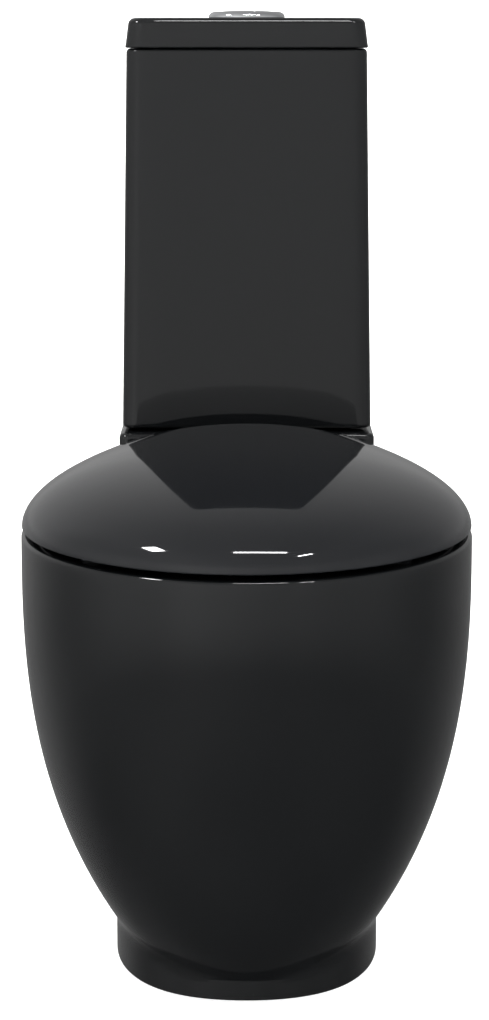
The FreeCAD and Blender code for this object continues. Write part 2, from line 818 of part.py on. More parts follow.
valve_floor = cistern_inside + size.washer_thick
valve_seat = valve_floor + 10
tower_base = valve_floor + 50
tower_top = cistern_top - size.tower_room
ACTUATOR_HEIGHT = 22
KEY_RADIUS = 5


def make_flush_valve_base():
    """The threaded outlet with its flange, the seal's seat, and a cage whose windows let the water in."""
    bore = size.outlet_radius - 4
    low = cistern_base - size.outlet_drop
    flange, cage = size.outlet_radius + 10, size.tower_radius + 3
    points = [
        (bore, low), (size.outlet_radius, low), (size.outlet_radius, valve_floor), (flange, valve_floor),
        (flange, valve_floor + 4), (cage, valve_floor + 4), (cage, tower_base), (cage - 6, tower_base),
        (cage - 6, valve_seat), (bore, valve_seat),
    ]
    base = turned("flush_valve_base", points, y=flush_y)
    for plane in ("XZ_Plane", "YZ_Plane"):
        windows = new_sketch(base, plane)
        rounded(windows, as_size(-16), as_size(16), valve_seat + 5, tower_base - 7, 4)
        pocket(base, windows, cage * 3, both_ways=True)
    return base


def make_flush_valve_tower():
    """The tube that guides the overflow pipe, with windows for the water."""
    outer, inner = size.tower_radius, size.tower_radius - 3
    guide = size.overflow_radius + 1
    points = [
        (inner, tower_base), (outer, tower_base), (outer, tower_top),
        (guide, tower_top), (guide, tower_top - 3), (inner, tower_top - 3),
    ]
    tower = turned("flush_valve_tower", points, y=flush_y)
    windows = new_sketch(tower, "XZ_Plane")
    for side in (-1, 1):
        middle = side * outer * 0.35
        rounded(windows, middle - 6, middle + 6, tower_base + 20, tower_top - 40, 5)
    pocket(tower, windows, outer * 3, both_ways=True)
    return tower


def make_actuator():
    """The box on the tower that turns a push on either key into the lift of the pipe."""
    body = new_body("actuator_box")
    outline = new_sketch(body, offset=tower_top)
    rounded(outline, as_size(-24), as_size(28), as_size(-16), as_size(16), 6)
    pad(body, outline, ACTUATOR_HEIGHT)
    holes = new_sketch(body, offset=tower_top + ACTUATOR_HEIGHT)
    for x in rod_x:
        circle(holes, (x, as_size(0)), KEY_RADIUS + size.running_fit)
    pocket(body, holes, ACTUATOR_HEIGHT - 3)
    place(body, y=flush_y)
    return body


def make_flush_valve():
    """Everything in the flush valve, from the seal in the shelf's recess up to the keys."""
    outer = size.outlet_radius
    thread = outer + size.push_fit
    pipe_inner, pipe_outer = size.overflow_radius - 1.5, size.overflow_radius
    seal_low = valve_seat + size.rest_gap
    seal_top = seal_low + size.washer_thick
    pipe_top = tower_top - 30
    pipe_points = [
        (pipe_inner, seal_low), (pipe_outer, seal_low), (pipe_outer, seal_top),
        (pipe_outer + 8, seal_top), (pipe_outer + 8, seal_top + 3), (pipe_outer, seal_top + 3),
        (pipe_outer, pipe_top), (pipe_inner, pipe_top),
    ]
    key_low = tower_top + ACTUATOR_HEIGHT - 8
    keys = [
        ring(name, as_size(0), as_size(KEY_RADIUS), key_low, rod_low - size.rest_gap, x, flush_y)
        for name, x in (("full_flush_key", rod_x[0]), ("half_flush_key", rod_x[1]))
    ]
    float_bore, float_low = pipe_outer + size.push_fit, tower_base + 90
    recess_floor = deck - size.recess_depth
    return [
        make_flush_valve_base(),
        ring("flush_valve_washer", thread, outer + 10, cistern_inside, valve_floor, y=flush_y),
        lobed_nut("flush_valve_nut", thread, outer + 8, cistern_base - 14, cistern_base, y=flush_y, lobes=12),
        ring("coupling_seal", outer + 8.5, size.recess_radius - 0.5, recess_floor, cistern_base, y=flush_y),
        make_flush_valve_tower(),
        turned("overflow_pipe", pipe_points, y=flush_y),
        ring("flush_seal", pipe_outer + size.push_fit, outer - 2, seal_low, seal_top, y=flush_y),
        ring("flush_float", float_bore, size.tower_radius - 4, float_low, float_low + 40, y=flush_y),
        make_actuator(),
        *keys,
    ]


# ---------------------------------------------------------------- the fill valve

fill_top = cistern_inside + size.fill_height
head_low = fill_top - 30
float_low = cistern_inside + 110
float_top = float_low + 55
riser = as_size(10)
lever_z = fill_top + 6
link_y = -size.lever_length


def make_fill_valve():
    shank, low = size.shank_radius, cistern_base - size.shank_length
    neck, nut_low = shank - 0.4, cistern_base - 12
    stop = float_low - size.rest_gap
    points = [
        (5, low), (shank, low), (shank, nut_low - 2), (neck, nut_low - 2), (neck, nut_low), (shank, nut_low),
        (shank, valve_floor), (16, valve_floor), (16, valve_floor + 4), (riser, valve_floor + 4),
        (riser, stop - 3), (riser + 4, stop - 3), (riser + 4, stop), (riser, stop),
        (riser, head_low), (5, head_low),
    ]
    body = turned("fill_valve_body", points, inlet_x, inlet_y)

    head = ring("fill_valve_head", as_size(0), as_size(16), head_low, fill_top, inlet_x, inlet_y)
    ears = new_sketch(head, offset=fill_top - 1)
    for side in (-1, 1):
        rounded(ears, side * 5.5 - 1.5, side * 5.5 + 1.5, as_size(-6), as_size(6), 1)
    pad(head, ears, 14)
    hole = new_sketch(head, "YZ_Plane")
    circle(hole, (as_size(0), lever_z), 2 + size.push_fit)
    pocket(head, hole, 30, both_ways=True)

    lever = new_body("fill_valve_lever")
    side_view = new_sketch(lever, "YZ_Plane")
    tip = link_y - 5
    arm = [(tip, lever_z + 1.5), (tip, lever_z - 1.5)]
    hub = [(-4, lever_z - 4.5), (5, lever_z - 4.5), (5, lever_z + 5), (-4, lever_z + 5)]
    polygon(side_view, arm + hub)
    pad(lever, side_view, 7, both_ways=True)
    bore = new_sketch(lever, "YZ_Plane")
    circle(bore, (as_size(0), lever_z), 2 + size.running_fit)
    pocket(lever, bore, 30, both_ways=True)
    place(lever, inlet_x, inlet_y)
    pin = turned(
        "fill_lever_pin", [(-8, 0), (8, 0), (8, 2), (-8, 2)], inlet_x, inlet_y, lever_z, axis="H_Axis"
    )

    cup = ring("fill_valve_float", riser + 1, riser + 12, float_low, float_top, inlet_x, inlet_y)
    tab = new_sketch(cup, offset=float_top - 6)
    polygon(tab, [(-4, link_y - 4), (4, link_y - 4), (4, -riser - 6), (-4, -riser - 6)])
    pad(cup, tab, 6)
    link = new_sketch(cup, offset=float_top - 3)
    circle(link, (as_size(0), link_y), 2)
    pad(cup, link, lever_z - 3 - (float_top - 3))

    thread = shank + size.push_fit
    return [
        body, head, lever, pin, cup,
        ring("fill_valve_washer", thread, shank + 7, cistern_inside, valve_floor, inlet_x, inlet_y),
        lobed_nut("fill_valve_nut", thread, shank + 7, nut_low, cistern_base, inlet_x, inlet_y),
    ]


# ---------------------------------------------------------------- what holds the cistern on the pan


def make_coupling():
    x, y, bolt = size.coupling_side, coupling_y, size.coupling_bolt
    rubber, plate = size.washer_thick, as_size(1.5)
    hole = bolt + size.push_fit
    above, below = cistern_inside + rubber, deck - size.rim_slab - rubber
    head_low, nut_top = above + plate, below - plate
    end = nut_top - 22
    shank = [(0, end), (bolt, end), (bolt, head_low)]
    head = [(bolt * 2, head_low), (bolt * 2, head_low + 5), (0, head_low + 5)]
    pieces = [
        turned("coupling_bolts", shank + head, x, y),
        ring("cistern_rubber_washers", hole, bolt * 3, cistern_inside, above, x, y),
        ring("cistern_steel_washers", hole, bolt * 3 - 1, above, head_low, x, y),
        ring("coupling_pads", bolt + 2, bolt + 10, deck, cistern_base, x, y),
        ring("shelf_rubber_washers", hole, bolt * 3, below, deck - size.rim_slab, x, y),
        ring("shelf_steel_washers", hole, bolt * 3 - 1, nut_top, below, x, y),
        wing_nut("coupling_wing_nuts", hole, nut_top - 12, nut_top, x, y),
    ]
    return [pair(piece) for piece in pieces]


# ---------------------------------------------------------------- the seat

cover_base = rim + size.cover_lift
cover_half = size.cover_width / 2
cover_far = hinge_y + size.cover_tail
seat_low = rim + size.seat_lift
seat_top = seat_low + size.seat_thick
seat_far = hinge_y - size.seat_rear
seat_half = cover_half - size.seat_inset
seat_near = front + size.seat_inset
inner_knuckle = hinge_x - size.pillar_radius - size.knuckle_gap - size.knuckle_width
outer_knuckle = hinge_x + size.pillar_radius + size.knuckle_gap
BOSS_SHARE = 0.72  # how far the dome has grown to its full section over the front bosses
DOME_ANGLES = (4, 11, 20, 30, 42, 54, 66, 78, 90)
TAIL_SHARES = (0.25, 0.5, 0.75, 1)


def knuckles(body, start):
    """Barrels on the hinge line, one each side."""
    for near in (start, -start - size.knuckle_width):
        barrel = new_sketch(body, "YZ_Plane", near)
        circle(barrel, (hinge_y, hinge_z), size.knuckle_radius)
        pad(body, barrel, size.knuckle_width)


def bore_knuckles(body):
    bore = new_sketch(body, "YZ_Plane")
    circle(bore, (hinge_y, hinge_z), size.barrel_radius + size.push_fit)
    pocket(body, bore, size.cover_width, both_ways=True)


def seat_outline(body, height, inset):
    sketch = new_sketch(body, offset=height)
    rear_half = size.cover_tail_half - 20 - inset
    egg(sketch, seat_half - inset, seat_near + inset, widest, seat_far - inset, rear_half)
    return sketch


def seat_opening(body, height, spread):
    sketch = new_sketch(body, offset=height)
    half = seat_half - size.seat_ring_width + spread
    oval(sketch, half, seat_near + size.seat_ring_width - spread, hinge_y - size.rim_rear + spread)
    return sketch


def make_seat_ring():
    """A flat ring whose upper edges are rounded, with two knuckles on the hinge line."""
    ring_body = new_body("seat_ring")
    edge, nothing = size.seat_round, as_size(0)
    shoulder = seat_top - edge
    steps = [
        (shoulder + edge * math.sin(turn), edge * (1 - math.cos(turn)))
        for turn in (math.radians(angle) for angle in (0, 30, 60, 90))
    ]
    heights = seat_low, shoulder
    loft(ring_body, [seat_outline(ring_body, height, nothing) for height in heights])
    loft(ring_body, [seat_outline(ring_body, height, inset) for height, inset in steps])
    loft(ring_body, [seat_opening(ring_body, height, nothing) for height in heights], cut=True)
    loft(ring_body, [seat_opening(ring_body, height, spread) for height, spread in steps], cut=True)
    for near in (inner_knuckle, -inner_knuckle - size.knuckle_width):
        arm = new_sketch(ring_body, "YZ_Plane", near)
        root_y, reach = seat_far - 15, size.knuckle_radius
        upper, lower = (hinge_y, hinge_z + reach), (hinge_y, hinge_z - reach)
        polygon(arm, [(root_y, seat_low), lower, upper, (root_y, seat_top)])
        pad(ring_body, arm, size.knuckle_width)
    knuckles(ring_body, inner_knuckle)
    bore_knuckles(ring_body)
    return ring_body


def dome_section(body, y, half, rise):
    """Half an ellipse that stands on the cover's lower edge."""
    sketch = new_sketch(body, "XZ_Plane", -y)
    nothing, top = as_size(0), cover_base + rise
    draw(
        sketch,
        (half, cover_base),
        curve((half, cover_base + rise * ROUND), (half * ROUND, top), (nothing, top)),
        curve((-half * ROUND, top), (-half, cover_base + rise * ROUND), (-half, cover_base)),
        line((half, cover_base)),
    )
    return sketch


def dome(body, inset=0, past=0, cut=False):
    """The cover's dome: round at the front, and flatter towards a straight rear edge."""
    sections = []
    for angle in DOME_ANGLES:
        along, across = math.cos(math.radians(angle)), math.sin(math.radians(angle))
        y = widest - (size.seat_reach - inset) * along
        half, rise = (cover_half - inset) * across, (size.cover_rise - inset) * across
        sections.append(dome_section(body, y, half, rise))
    for share in TAIL_SHARES:
        y = widest + (cover_far + past - widest) * share
        half = cover_half - (cover_half - size.cover_tail_half) * share**2 - inset
        sections.append(dome_section(body, y, half, size.cover_rise - size.cover_fall * share**2 - inset))
    loft(body, sections, cut)


def shell_height(x, half, rise):
    """The middle of the cover's skin above its lower edge, x from the middle of a section."""
    skin = size.cover_skin / 2
    reach = (x / (half - skin)) * (x / (half - skin))
    return cover_base + (rise - skin) * root(1 - reach)


def make_seat_cover():
    cover = new_body("seat_cover")
    dome(cover)
    dome(cover, size.cover_skin, 2, cut=True)
    heel = new_sketch(cover, "YZ_Plane")
    low, far = cover_base - 1, cover_far + 5
    polygon(heel, [(hinge_y - 55, low), (far, low), (far, hinge_z)])
    pocket(cover, heel, size.pan_width * 2, both_ways=True)
    tail_rise = size.cover_rise - size.cover_fall
    for side in (-1, 1):
        block = new_sketch(cover, "XZ_Plane", -hinge_y)
        near, far = outer_knuckle, outer_knuckle + size.knuckle_width
        tops = [shell_height(x, size.cover_tail_half, tail_rise) for x in (near, far)]
        lower = [(near * side, hinge_z), (far * side, hinge_z)]
        polygon(block, lower + [(far * side, tops[1]), (near * side, tops[0])])
        pad(cover, block, size.knuckle_radius * 2, both_ways=True)
    knuckles(cover, outer_knuckle)
    bore_knuckles(cover)
    bosses = new_sketch(cover, offset=seat_top + size.rest_gap + size.buffer_thick)
    for side in (-1, 1):
        circle(bosses, (size.buffer_side * side, front + size.buffer_back), 7)
    boss_top = shell_height(size.buffer_side, cover_half * BOSS_SHARE, size.cover_rise * BOSS_SHARE)
    pad(cover, bosses, boss_top - (seat_top + size.rest_gap + size.buffer_thick))
    return cover


def sleeve(name, start, inner, outer, width):
    """A tube on the hinge line."""
    end = start + width
    points = [(start, inner), (end, inner), (end, outer), (start, outer)]
    return turned(name, points, y=hinge_y, z=hinge_z, axis="H_Axis")


def make_hinges():
    """Two pillars bolted through the rim. The seat turns on their pins inside them, and the cover outside."""
    pin, barrel, width = size.hinge_pin, size.barrel_radius, size.knuckle_width
    running, gasket = pin + size.running_fit, as_size(1.5)
    slab_low = rim - size.rim_slab
    nut_top = slab_low - size.washer_thick
    x, push = hinge_x, pin + size.push_fit
    pillar_low = rim + gasket
    post, foot = size.pillar_radius, size.pillar_radius + 6
    points = [
        (0, pillar_low), (foot, pillar_low), (foot, pillar_low + 3), (post, pillar_low + 6),
        (post, hinge_z + 8), (post - 3, hinge_z + 10), (0, hinge_z + 10),
    ]
    pillar = turned("hinge_pillars", points, hinge_x, hinge_y)
    cross_hole = new_sketch(pillar, "YZ_Plane")
    circle(cross_hole, (as_size(0), hinge_z), pin + size.push_fit)
    pocket(pillar, cross_hole, 60, both_ways=True)
    stud_hole = new_sketch(pillar, offset=pillar_low)
    circle(stud_hole, (as_size(0), as_size(0)), pin + size.push_fit)
    pocket(pillar, stud_hole, 12, backwards=True)
    pins = sleeve("hinge_pins", inner_knuckle - 2, as_size(0), pin, outer_knuckle + width - inner_knuckle + 4)
    return [
        pair(pillar),
        pair(pins),
        pair(ring("hinge_gaskets", pin + 0.5, size.pillar_radius + 6, rim, pillar_low, hinge_x, hinge_y)),
        pair(ring("hinge_studs", as_size(0), pin, nut_top - 22, pillar_low + 11, hinge_x, hinge_y)),
        pair(ring("hinge_washers", push, as_size(14), nut_top, slab_low, x, hinge_y)),
        pair(wing_nut("hinge_wing_nuts", push, nut_top - 12, nut_top, x, hinge_y)),
        sleeve("seat_damper", -inner_knuckle - width, running, barrel, width),
        sleeve("seat_bush", inner_knuckle, running, barrel, width),
        sleeve("cover_damper", outer_knuckle, running, barrel, width),
        sleeve("cover_bush", -outer_knuckle - width, running, barrel, width),
    ]


def make_buffers():
    """Rubber feet: four under the seat ring and two under the cover."""
    under_seat = new_body("seat_buffers")
    feet = new_sketch(under_seat, offset=rim + size.rest_gap)
    for side in (-1, 1):
        circle(feet, (size.foot_side * side, front + size.foot_front_back), 9)
        circle(feet, (size.foot_side * side * 0.85, hinge_y - size.foot_rear_forward), 9)
    pad(under_seat, feet, size.seat_lift - size.rest_gap)
    under_cover = ring(
        "cover_buffers", as_size(0), as_size(7), seat_top + size.rest_gap,
        seat_top + size.rest_gap + size.buffer_thick, size.buffer_side, front + size.buffer_back,
    )
    return [under_seat, pair(under_cover)]


# ---------------------------------------------------------------- what holds the pan to the floor


def make_floor_fixings():
    face = foot_half - size.china_wall
    leg, plate = size.bracket_leg, size.bracket_thick
    screw, height = size.side_screw, size.side_screw_height
    bracket = new_body("floor_brackets")
    profile = new_sketch(bracket, "XZ_Plane", -bracket_y)
    outer = [(face - leg, 0), (face, 0), (face, leg)]
    polygon(profile, outer + [(face - plate, leg), (face - plate, plate), (face - leg, plate)])
    pad(bracket, profile, size.bracket_length, both_ways=True)
    side_hole = new_sketch(bracket, "YZ_Plane", face)
    circle(side_hole, (bracket_y, height), screw + size.push_fit)
    pocket(bracket, side_hole, leg / 2)
    floor_hole = new_sketch(bracket, offset=plate)
    circle(floor_hole, (face - leg / 2 - 5, bracket_y), size.floor_hole)
    pocket(bracket, floor_hole, plate * 2)

    tip, seat, head = face - 14, foot_half, as_size(2.5)
    end = seat + head
    shape = [(tip, 0), (end, 0), (end, screw + 2.5), (seat, screw + 2.5), (seat, screw), (tip, screw)]
    side_screw = turned("side_screws", shape, y=bracket_y, z=height, axis="H_Axis")
    inside, outside = screw + 3, screw + 5
    shell = [
        (seat, inside), (seat, outside), (seat + 2, outside - 0.3), (seat + 4, outside - 2), (seat + 4.6, 0),
        (seat + 3, 0), (seat + 3, inside),
    ]
    cap = turned("screw_caps", shell, y=bracket_y, z=height, axis="H_Axis")
    return [pair(bracket), pair(side_screw), pair(cap)]


# ---------------------------------------------------------------- writing the parts

NODES = [
    make_pan(),
    make_cistern_tank(),
    make_cistern_lid(),
    *make_push_button(),
    *make_flush_valve(),
    *make_fill_valve(),
    *make_coupling(),
    make_seat_ring(),
    make_seat_cover(),
    *make_hinges(),
    *make_buffers(),
    *make_floor_fixings(),
]

doc.recompute()
for item in doc.Objects:
    if {"Invalid", "Error"} & set(item.State):
        raise RuntimeError(f"{item.Name} did not build: {item.State}")
    base = getattr(item, "BaseFeature", None)
    cuts = ("Pocket", "Groove", "SubtractiveLoft", "SubtractivePipe")
    if base is not None and item.TypeId.endswith(cuts) and item.Shape.Volume >= base.Shape.Volume:
        raise RuntimeError(f"{item.Name} cuts nothing")

os.makedirs(PARTS, exist_ok=True)
for node in NODES:
    if node.Shape.isNull() or not node.Shape.isValid():
        raise RuntimeError(f"{node.Label} has no valid shape")
    node.Shape.exportStep(os.path.join(PARTS, f"{node.Label}.step"))
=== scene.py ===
"""Looks for a close coupled toilet in black glazed china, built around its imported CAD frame."""

import json
import math

import bmesh
import bpy
import numpy as np
from bpy.props import FloatProperty, FloatVectorProperty, IntProperty, PointerProperty
from mathutils import Matrix, Vector

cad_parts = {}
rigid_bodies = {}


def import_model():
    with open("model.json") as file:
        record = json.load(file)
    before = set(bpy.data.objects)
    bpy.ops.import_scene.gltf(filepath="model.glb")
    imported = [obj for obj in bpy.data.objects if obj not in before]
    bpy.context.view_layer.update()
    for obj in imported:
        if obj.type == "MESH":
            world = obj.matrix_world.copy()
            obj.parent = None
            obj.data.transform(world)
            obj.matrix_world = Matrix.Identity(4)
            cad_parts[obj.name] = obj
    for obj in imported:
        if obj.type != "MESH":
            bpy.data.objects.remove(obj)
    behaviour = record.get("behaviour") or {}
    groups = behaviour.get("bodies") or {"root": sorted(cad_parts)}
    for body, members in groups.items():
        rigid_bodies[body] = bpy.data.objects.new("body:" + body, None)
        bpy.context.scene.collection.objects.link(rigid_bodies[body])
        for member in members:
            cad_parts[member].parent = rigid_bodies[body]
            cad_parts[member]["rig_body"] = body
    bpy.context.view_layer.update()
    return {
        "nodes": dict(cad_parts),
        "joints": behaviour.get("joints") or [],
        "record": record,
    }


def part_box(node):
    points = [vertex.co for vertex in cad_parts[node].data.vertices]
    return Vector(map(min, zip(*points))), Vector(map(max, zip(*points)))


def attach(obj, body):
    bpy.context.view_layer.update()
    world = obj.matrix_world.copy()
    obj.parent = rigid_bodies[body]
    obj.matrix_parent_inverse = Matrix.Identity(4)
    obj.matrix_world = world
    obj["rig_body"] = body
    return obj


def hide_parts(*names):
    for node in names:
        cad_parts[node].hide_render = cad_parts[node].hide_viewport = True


bl_info = {
    "name": "Close Coupled Toilet",
    "version": (1, 0, 0),
    "blender": (4, 5, 0),
    "location": "3D Viewport > Sidebar > Toilet",
    "description": "Builds the glazed china, the seat, the fittings and the studio around the CAD frame",
    "category": "Object",
}

MM = 0.001
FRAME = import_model()
SMOOTH_ANGLE = math.radians(32)  # faces that meet at less than this are shaded as one surface


def linear(hex_colour):
    """An sRGB hex colour as linear red, green and blue."""
    parts = [int(hex_colour[i : i + 2], 16) / 255 for i in (1, 3, 5)]
    return [p / 12.92 if p <= 0.04045 else ((p + 0.055) / 1.055) ** 2.4 for p in parts]


def span(node):
    """A CAD node's lowest and highest corner, in millimetres."""
    return [Vector(corner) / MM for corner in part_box(node)]


# ---------------------------------------------------------------- places read from the frame

PAN_LOW, PAN_HIGH = span("pan")
SEAT_LOW, SEAT_HIGH = span("seat_ring")
COVER_LOW, COVER_HIGH = span("seat_cover")
TANK_LOW, TANK_HIGH = span("cistern_tank")
LID_LOW, LID_HIGH = span("cistern_lid")
HOUSING_LOW, HOUSING_HIGH = span("button_housing")
HINGE = Vector(next(j["pos_m"] for j in FRAME["joints"] if j["name"] == "seat_hinge")) / MM


def centre_of(node):
    """The middle of a CAD node, to a tenth of a millimetre."""
    low, high = span(node)
    return Vector([round((a + b) / 2, 1) for a, b in zip(low, high)])


def right_hand(node):
    """The middle of the right-hand one of a pair of round pieces, to a tenth of a millimetre."""
    low, high = span(node)
    place = centre_of(node)
    place.x = round(high.x - (high.y - low.y) / 2, 1)
    return place


FLUSH = centre_of("flush_valve_base")
FILL = centre_of("fill_valve_nut")
STUD = right_hand("hinge_washers")
BOLT = right_hand("shelf_steel_washers")
SCREW = centre_of("side_screws")
RODS = {"full": centre_of("full_flush_rod").x, "half": centre_of("half_flush_rod").x}


# ---------------------------------------------------------------- settings


def colour_property(name, description, default):
    """A colour that a user can pick, given as an sRGB hex value."""
    return FloatVectorProperty(
        name=name, description=description, subtype="COLOR", size=3, min=0.0, max=1.0, default=linear(default)
    )


class PanSettings(bpy.types.PropertyGroup):
    """Sizes of the pan that the frame leaves open."""

    crease: FloatProperty(
        name="Crease", description="Softness of the line between bowl and foot, in mm", default=7.0
    )
    rim_round: FloatProperty(
        name="Rim rounding", description="Rounding of the rim's outer edge, in mm", default=3.5
    )
    shelf_round: FloatProperty(
        name="Shelf rounding", description="Rounding of the shelf's edge, in mm", default=4.0
    )
    china: FloatProperty(name="Outer wall", description="Thickness of the outer walls, in mm", default=12.0)
    bowl_wall: FloatProperty(
        name="Bowl wall", description="Thickness of the bowl and trapway, in mm", default=10.0
    )
    segments: IntProperty(name="Segments", description="Points round the pan", default=288, min=48)


class CisternSettings(bpy.types.PropertyGroup):
    """Sizes of the cistern and its lid that the frame leaves open."""

    wall: FloatProperty(name="Wall", description="Thickness of the cistern's walls, in mm", default=9.0)
    tank_edge: FloatProperty(
        name="Tank edge", description="Rounding of the tank's top edge, in mm", default=3.5
    )
    lid_edge: FloatProperty(name="Lid edge", description="Rounding of the lid's top edge, in mm", default=6.0)


class SeatSettings(bpy.types.PropertyGroup):
    """Sizes of the seat and cover that the frame leaves open."""

    cover_skin: FloatProperty(name="Cover wall", description="Thickness of the cover, in mm", default=6.0)
    cover_edge: FloatProperty(
        name="Cover edge", description="Rounding of the cover's lower edge, in mm", default=1.2
    )
    seat_edge: FloatProperty(
        name="Seat edge", description="Rounding of the seat's upper edges, in mm", default=8.0
    )


class FittingSettings(bpy.types.PropertyGroup):
    """Sizes of the push button, valves and fixings that the frame leaves open."""

    button_radius: FloatProperty(
        name="Button radius", description="Outside of both buttons, in mm", default=25.4
    )
    button_split: FloatProperty(
        name="Parting line", description="Its place right of the middle, in mm", default=7.0
    )
    button_gap: FloatProperty(
        name="Button gap", description="Half the gap at the parting line, in mm", default=0.6
    )
    thread_steps: IntProperty(
        name="Thread steps", description="Points in each turn of a thread", default=32, min=8
    )


class FinishSettings(bpy.types.PropertyGroup):
    """Colours of the pieces."""

    glaze: colour_property("Glaze", "Colour of the china's glaze", "#0c0d0e")
    seat: colour_property("Seat", "Colour of the seat and cover", "#121315")
    chrome: colour_property("Chrome", "Colour of the chrome plate", "#e9ebed")


class StudioSettings(bpy.types.PropertyGroup):
    """The camera's place and the studio's colour."""

    backdrop: colour_property("Backdrop", "Colour of the floor and backdrop", "#fafafa")
    distance: FloatProperty(
        name="Camera distance", description="Origin to camera", default=2.48, unit="LENGTH"
    )
    height: FloatProperty(
        name="Camera height", description="Camera above the floor", default=0.79, unit="LENGTH"
    )
    pitch: FloatProperty(
        name="Camera pitch", description="Camera's tilt down", default=math.radians(9.3136), unit="ROTATION"
    )
    lens: FloatProperty(name="Lens", description="Focal length, in mm", default=105.88, unit="CAMERA")
    shift: FloatProperty(name="Shift", description="Sideways shift of the view", default=-0.00216)


# ---------------------------------------------------------------- materials


def add_node(tree, kind, settings=None, inputs=None, links=None):
    """Adds a node, sets its properties and sockets, and links sockets to other nodes' outputs."""
    node = tree.nodes.new(kind)
    for name, value in (settings or {}).items():
        setattr(node, name, value)
    for name, value in (inputs or {}).items():
        node.inputs[name].default_value = value
    for name, (source, output) in (links or {}).items():
        tree.links.new(source.outputs[output], node.inputs[name])
    return node


def new_material(name):
    """An empty node material with its output, and the object coordinates that patterns are drawn in."""
    material = bpy.data.materials.new(name)
    material.use_nodes = True
    tree = material.node_tree
    tree.nodes.clear()
    output = add_node(tree, "ShaderNodeOutputMaterial")
    place = add_node(tree, "ShaderNodeTexCoord")
    return material, tree, output, place


def per_metre(size_mm):
    """The noise scale whose features are about this many millimetres across."""
    return 1000.0 / size_mm


def glossy(name, colour, roughness, ior, wave_mm, wave_height, grain_mm, grain_height):
    """A dense glossy body with a slow wave and a fine grain in its surface."""
    material, tree, output, place = new_material(name)
    wave = add_node(
        tree, "ShaderNodeTexNoise", inputs={"Scale": per_metre(wave_mm), "Detail": 1.0},
        links={"Vector": (place, "Object")},
    )
    grain = add_node(
        tree, "ShaderNodeTexNoise", inputs={"Scale": per_metre(grain_mm), "Detail": 2.0},
        links={"Vector": (place, "Object")},
    )
    slow = add_node(
        tree, "ShaderNodeBump", inputs={"Strength": 1.0, "Distance": wave_height * MM},
        links={"Height": (wave, "Fac")},
    )
    fine = add_node(
        tree, "ShaderNodeBump", inputs={"Strength": 1.0, "Distance": grain_height * MM},
        links={"Height": (grain, "Fac"), "Normal": (slow, "Normal")},
    )
    haze = add_node(
        tree, "ShaderNodeMapRange",
        inputs={"From Min": 0.3, "From Max": 0.7, "To Min": roughness * 0.8, "To Max": roughness * 1.25},
        links={"Value": (wave, "Fac")},
    )
    shader = add_node(
        tree, "ShaderNodeBsdfPrincipled", inputs={"Base Color": (*colour, 1.0), "IOR": ior},
        links={"Roughness": (haze, "Result"), "Normal": (fine, "Normal")},
    )
    tree.links.new(shader.outputs["BSDF"], output.inputs["Surface"])
    return material


def mottled(name, low_hex, high_hex, roughness, metallic, grain_mm, bump_mm, ior=None):
    """A surface whose colour and roughness vary by a quarter with a grain of a real size."""
    material, tree, output, place = new_material(name)
    grain = add_node(
        tree, "ShaderNodeTexNoise", inputs={"Scale": per_metre(grain_mm), "Detail": 4.0},
        links={"Vector": (place, "Object")},
    )
    colour = add_node(
        tree, "ShaderNodeMix", {"data_type": "RGBA"},
        {6: (*linear(low_hex), 1.0), 7: (*linear(high_hex), 1.0)}, {"Factor": (grain, "Fac")},
    )
    rough = add_node(
        tree, "ShaderNodeMapRange", inputs={"To Min": roughness * 0.75, "To Max": roughness * 1.25},
        links={"Value": (grain, "Fac")},
    )
    bump = add_node(
        tree, "ShaderNodeBump", inputs={"Strength": 1.0, "Distance": bump_mm * MM},
        links={"Height": (grain, "Fac")},
    )
    shader = add_node(
        tree, "ShaderNodeBsdfPrincipled", inputs={"Metallic": metallic},
        links={"Base Color": (colour, 2), "Roughness": (rough, "Result"), "Normal": (bump, "Normal")},
    )
    if ior is not None:
        shader.inputs["IOR"].default_value = ior
    tree.links.new(shader.outputs["BSDF"], output.inputs["Surface"])
    return material


def black_glaze():
    """Vitreous china, dipped and glaze fired: a deep black mirror with the slight wave of pooled glaze."""
    colour = bpy.context.scene.toilet_finishes.glaze
    return glossy("vitreous_china_black_glaze", colour, 0.045, 1.52, 55.0, 0.02, 2.5, 0.0006)


def black_duroplast():
    """Urea thermoset, compression moulded and buffed: black, flatter and a touch softer than the glaze."""
    colour = bpy.context.scene.toilet_finishes.seat
    return glossy("duroplast_black_buffed", colour, 0.05, 1.54, 70.0, 0.012, 1.5, 0.0006)


def polished_chrome():
    """Chrome plate on moulded ABS: a cool bright mirror with a fine buffing haze."""
    material, tree, output, place = new_material("chrome_plate_on_abs")
    haze = add_node(
        tree, "ShaderNodeTexNoise", inputs={"Scale": per_metre(3.0), "Detail": 3.0},
        links={"Vector": (place, "Object")},
    )
    rough = add_node(
        tree, "ShaderNodeMapRange", inputs={"To Min": 0.04, "To Max": 0.11}, links={"Value": (haze, "Fac")}
    )
    shader = add_node(
        tree, "ShaderNodeBsdfPrincipled",
        inputs={"Base Color": (*bpy.context.scene.toilet_finishes.chrome, 1.0), "Metallic": 1.0},
        links={"Roughness": (rough, "Result")},
    )
    tree.links.new(shader.outputs["BSDF"], output.inputs["Surface"])
    return material


def white_polypropylene():
    """Polypropylene, injection moulded: waxy white with its mould's spark grain, drawn coarser than life."""
    return mottled("polypropylene_white_moulded", "#d9dad6", "#e6e6e2", 0.38, 0.0, 0.8, 0.004, 1.49)


def grey_acetal():
    """Acetal, injection moulded: a mid grey with a soft slippery sheen, its grain drawn coarser than life."""
    return mottled("acetal_grey_moulded", "#4b4d50", "#5a5c5f", 0.35, 0.0, 0.8, 0.004, 1.48)


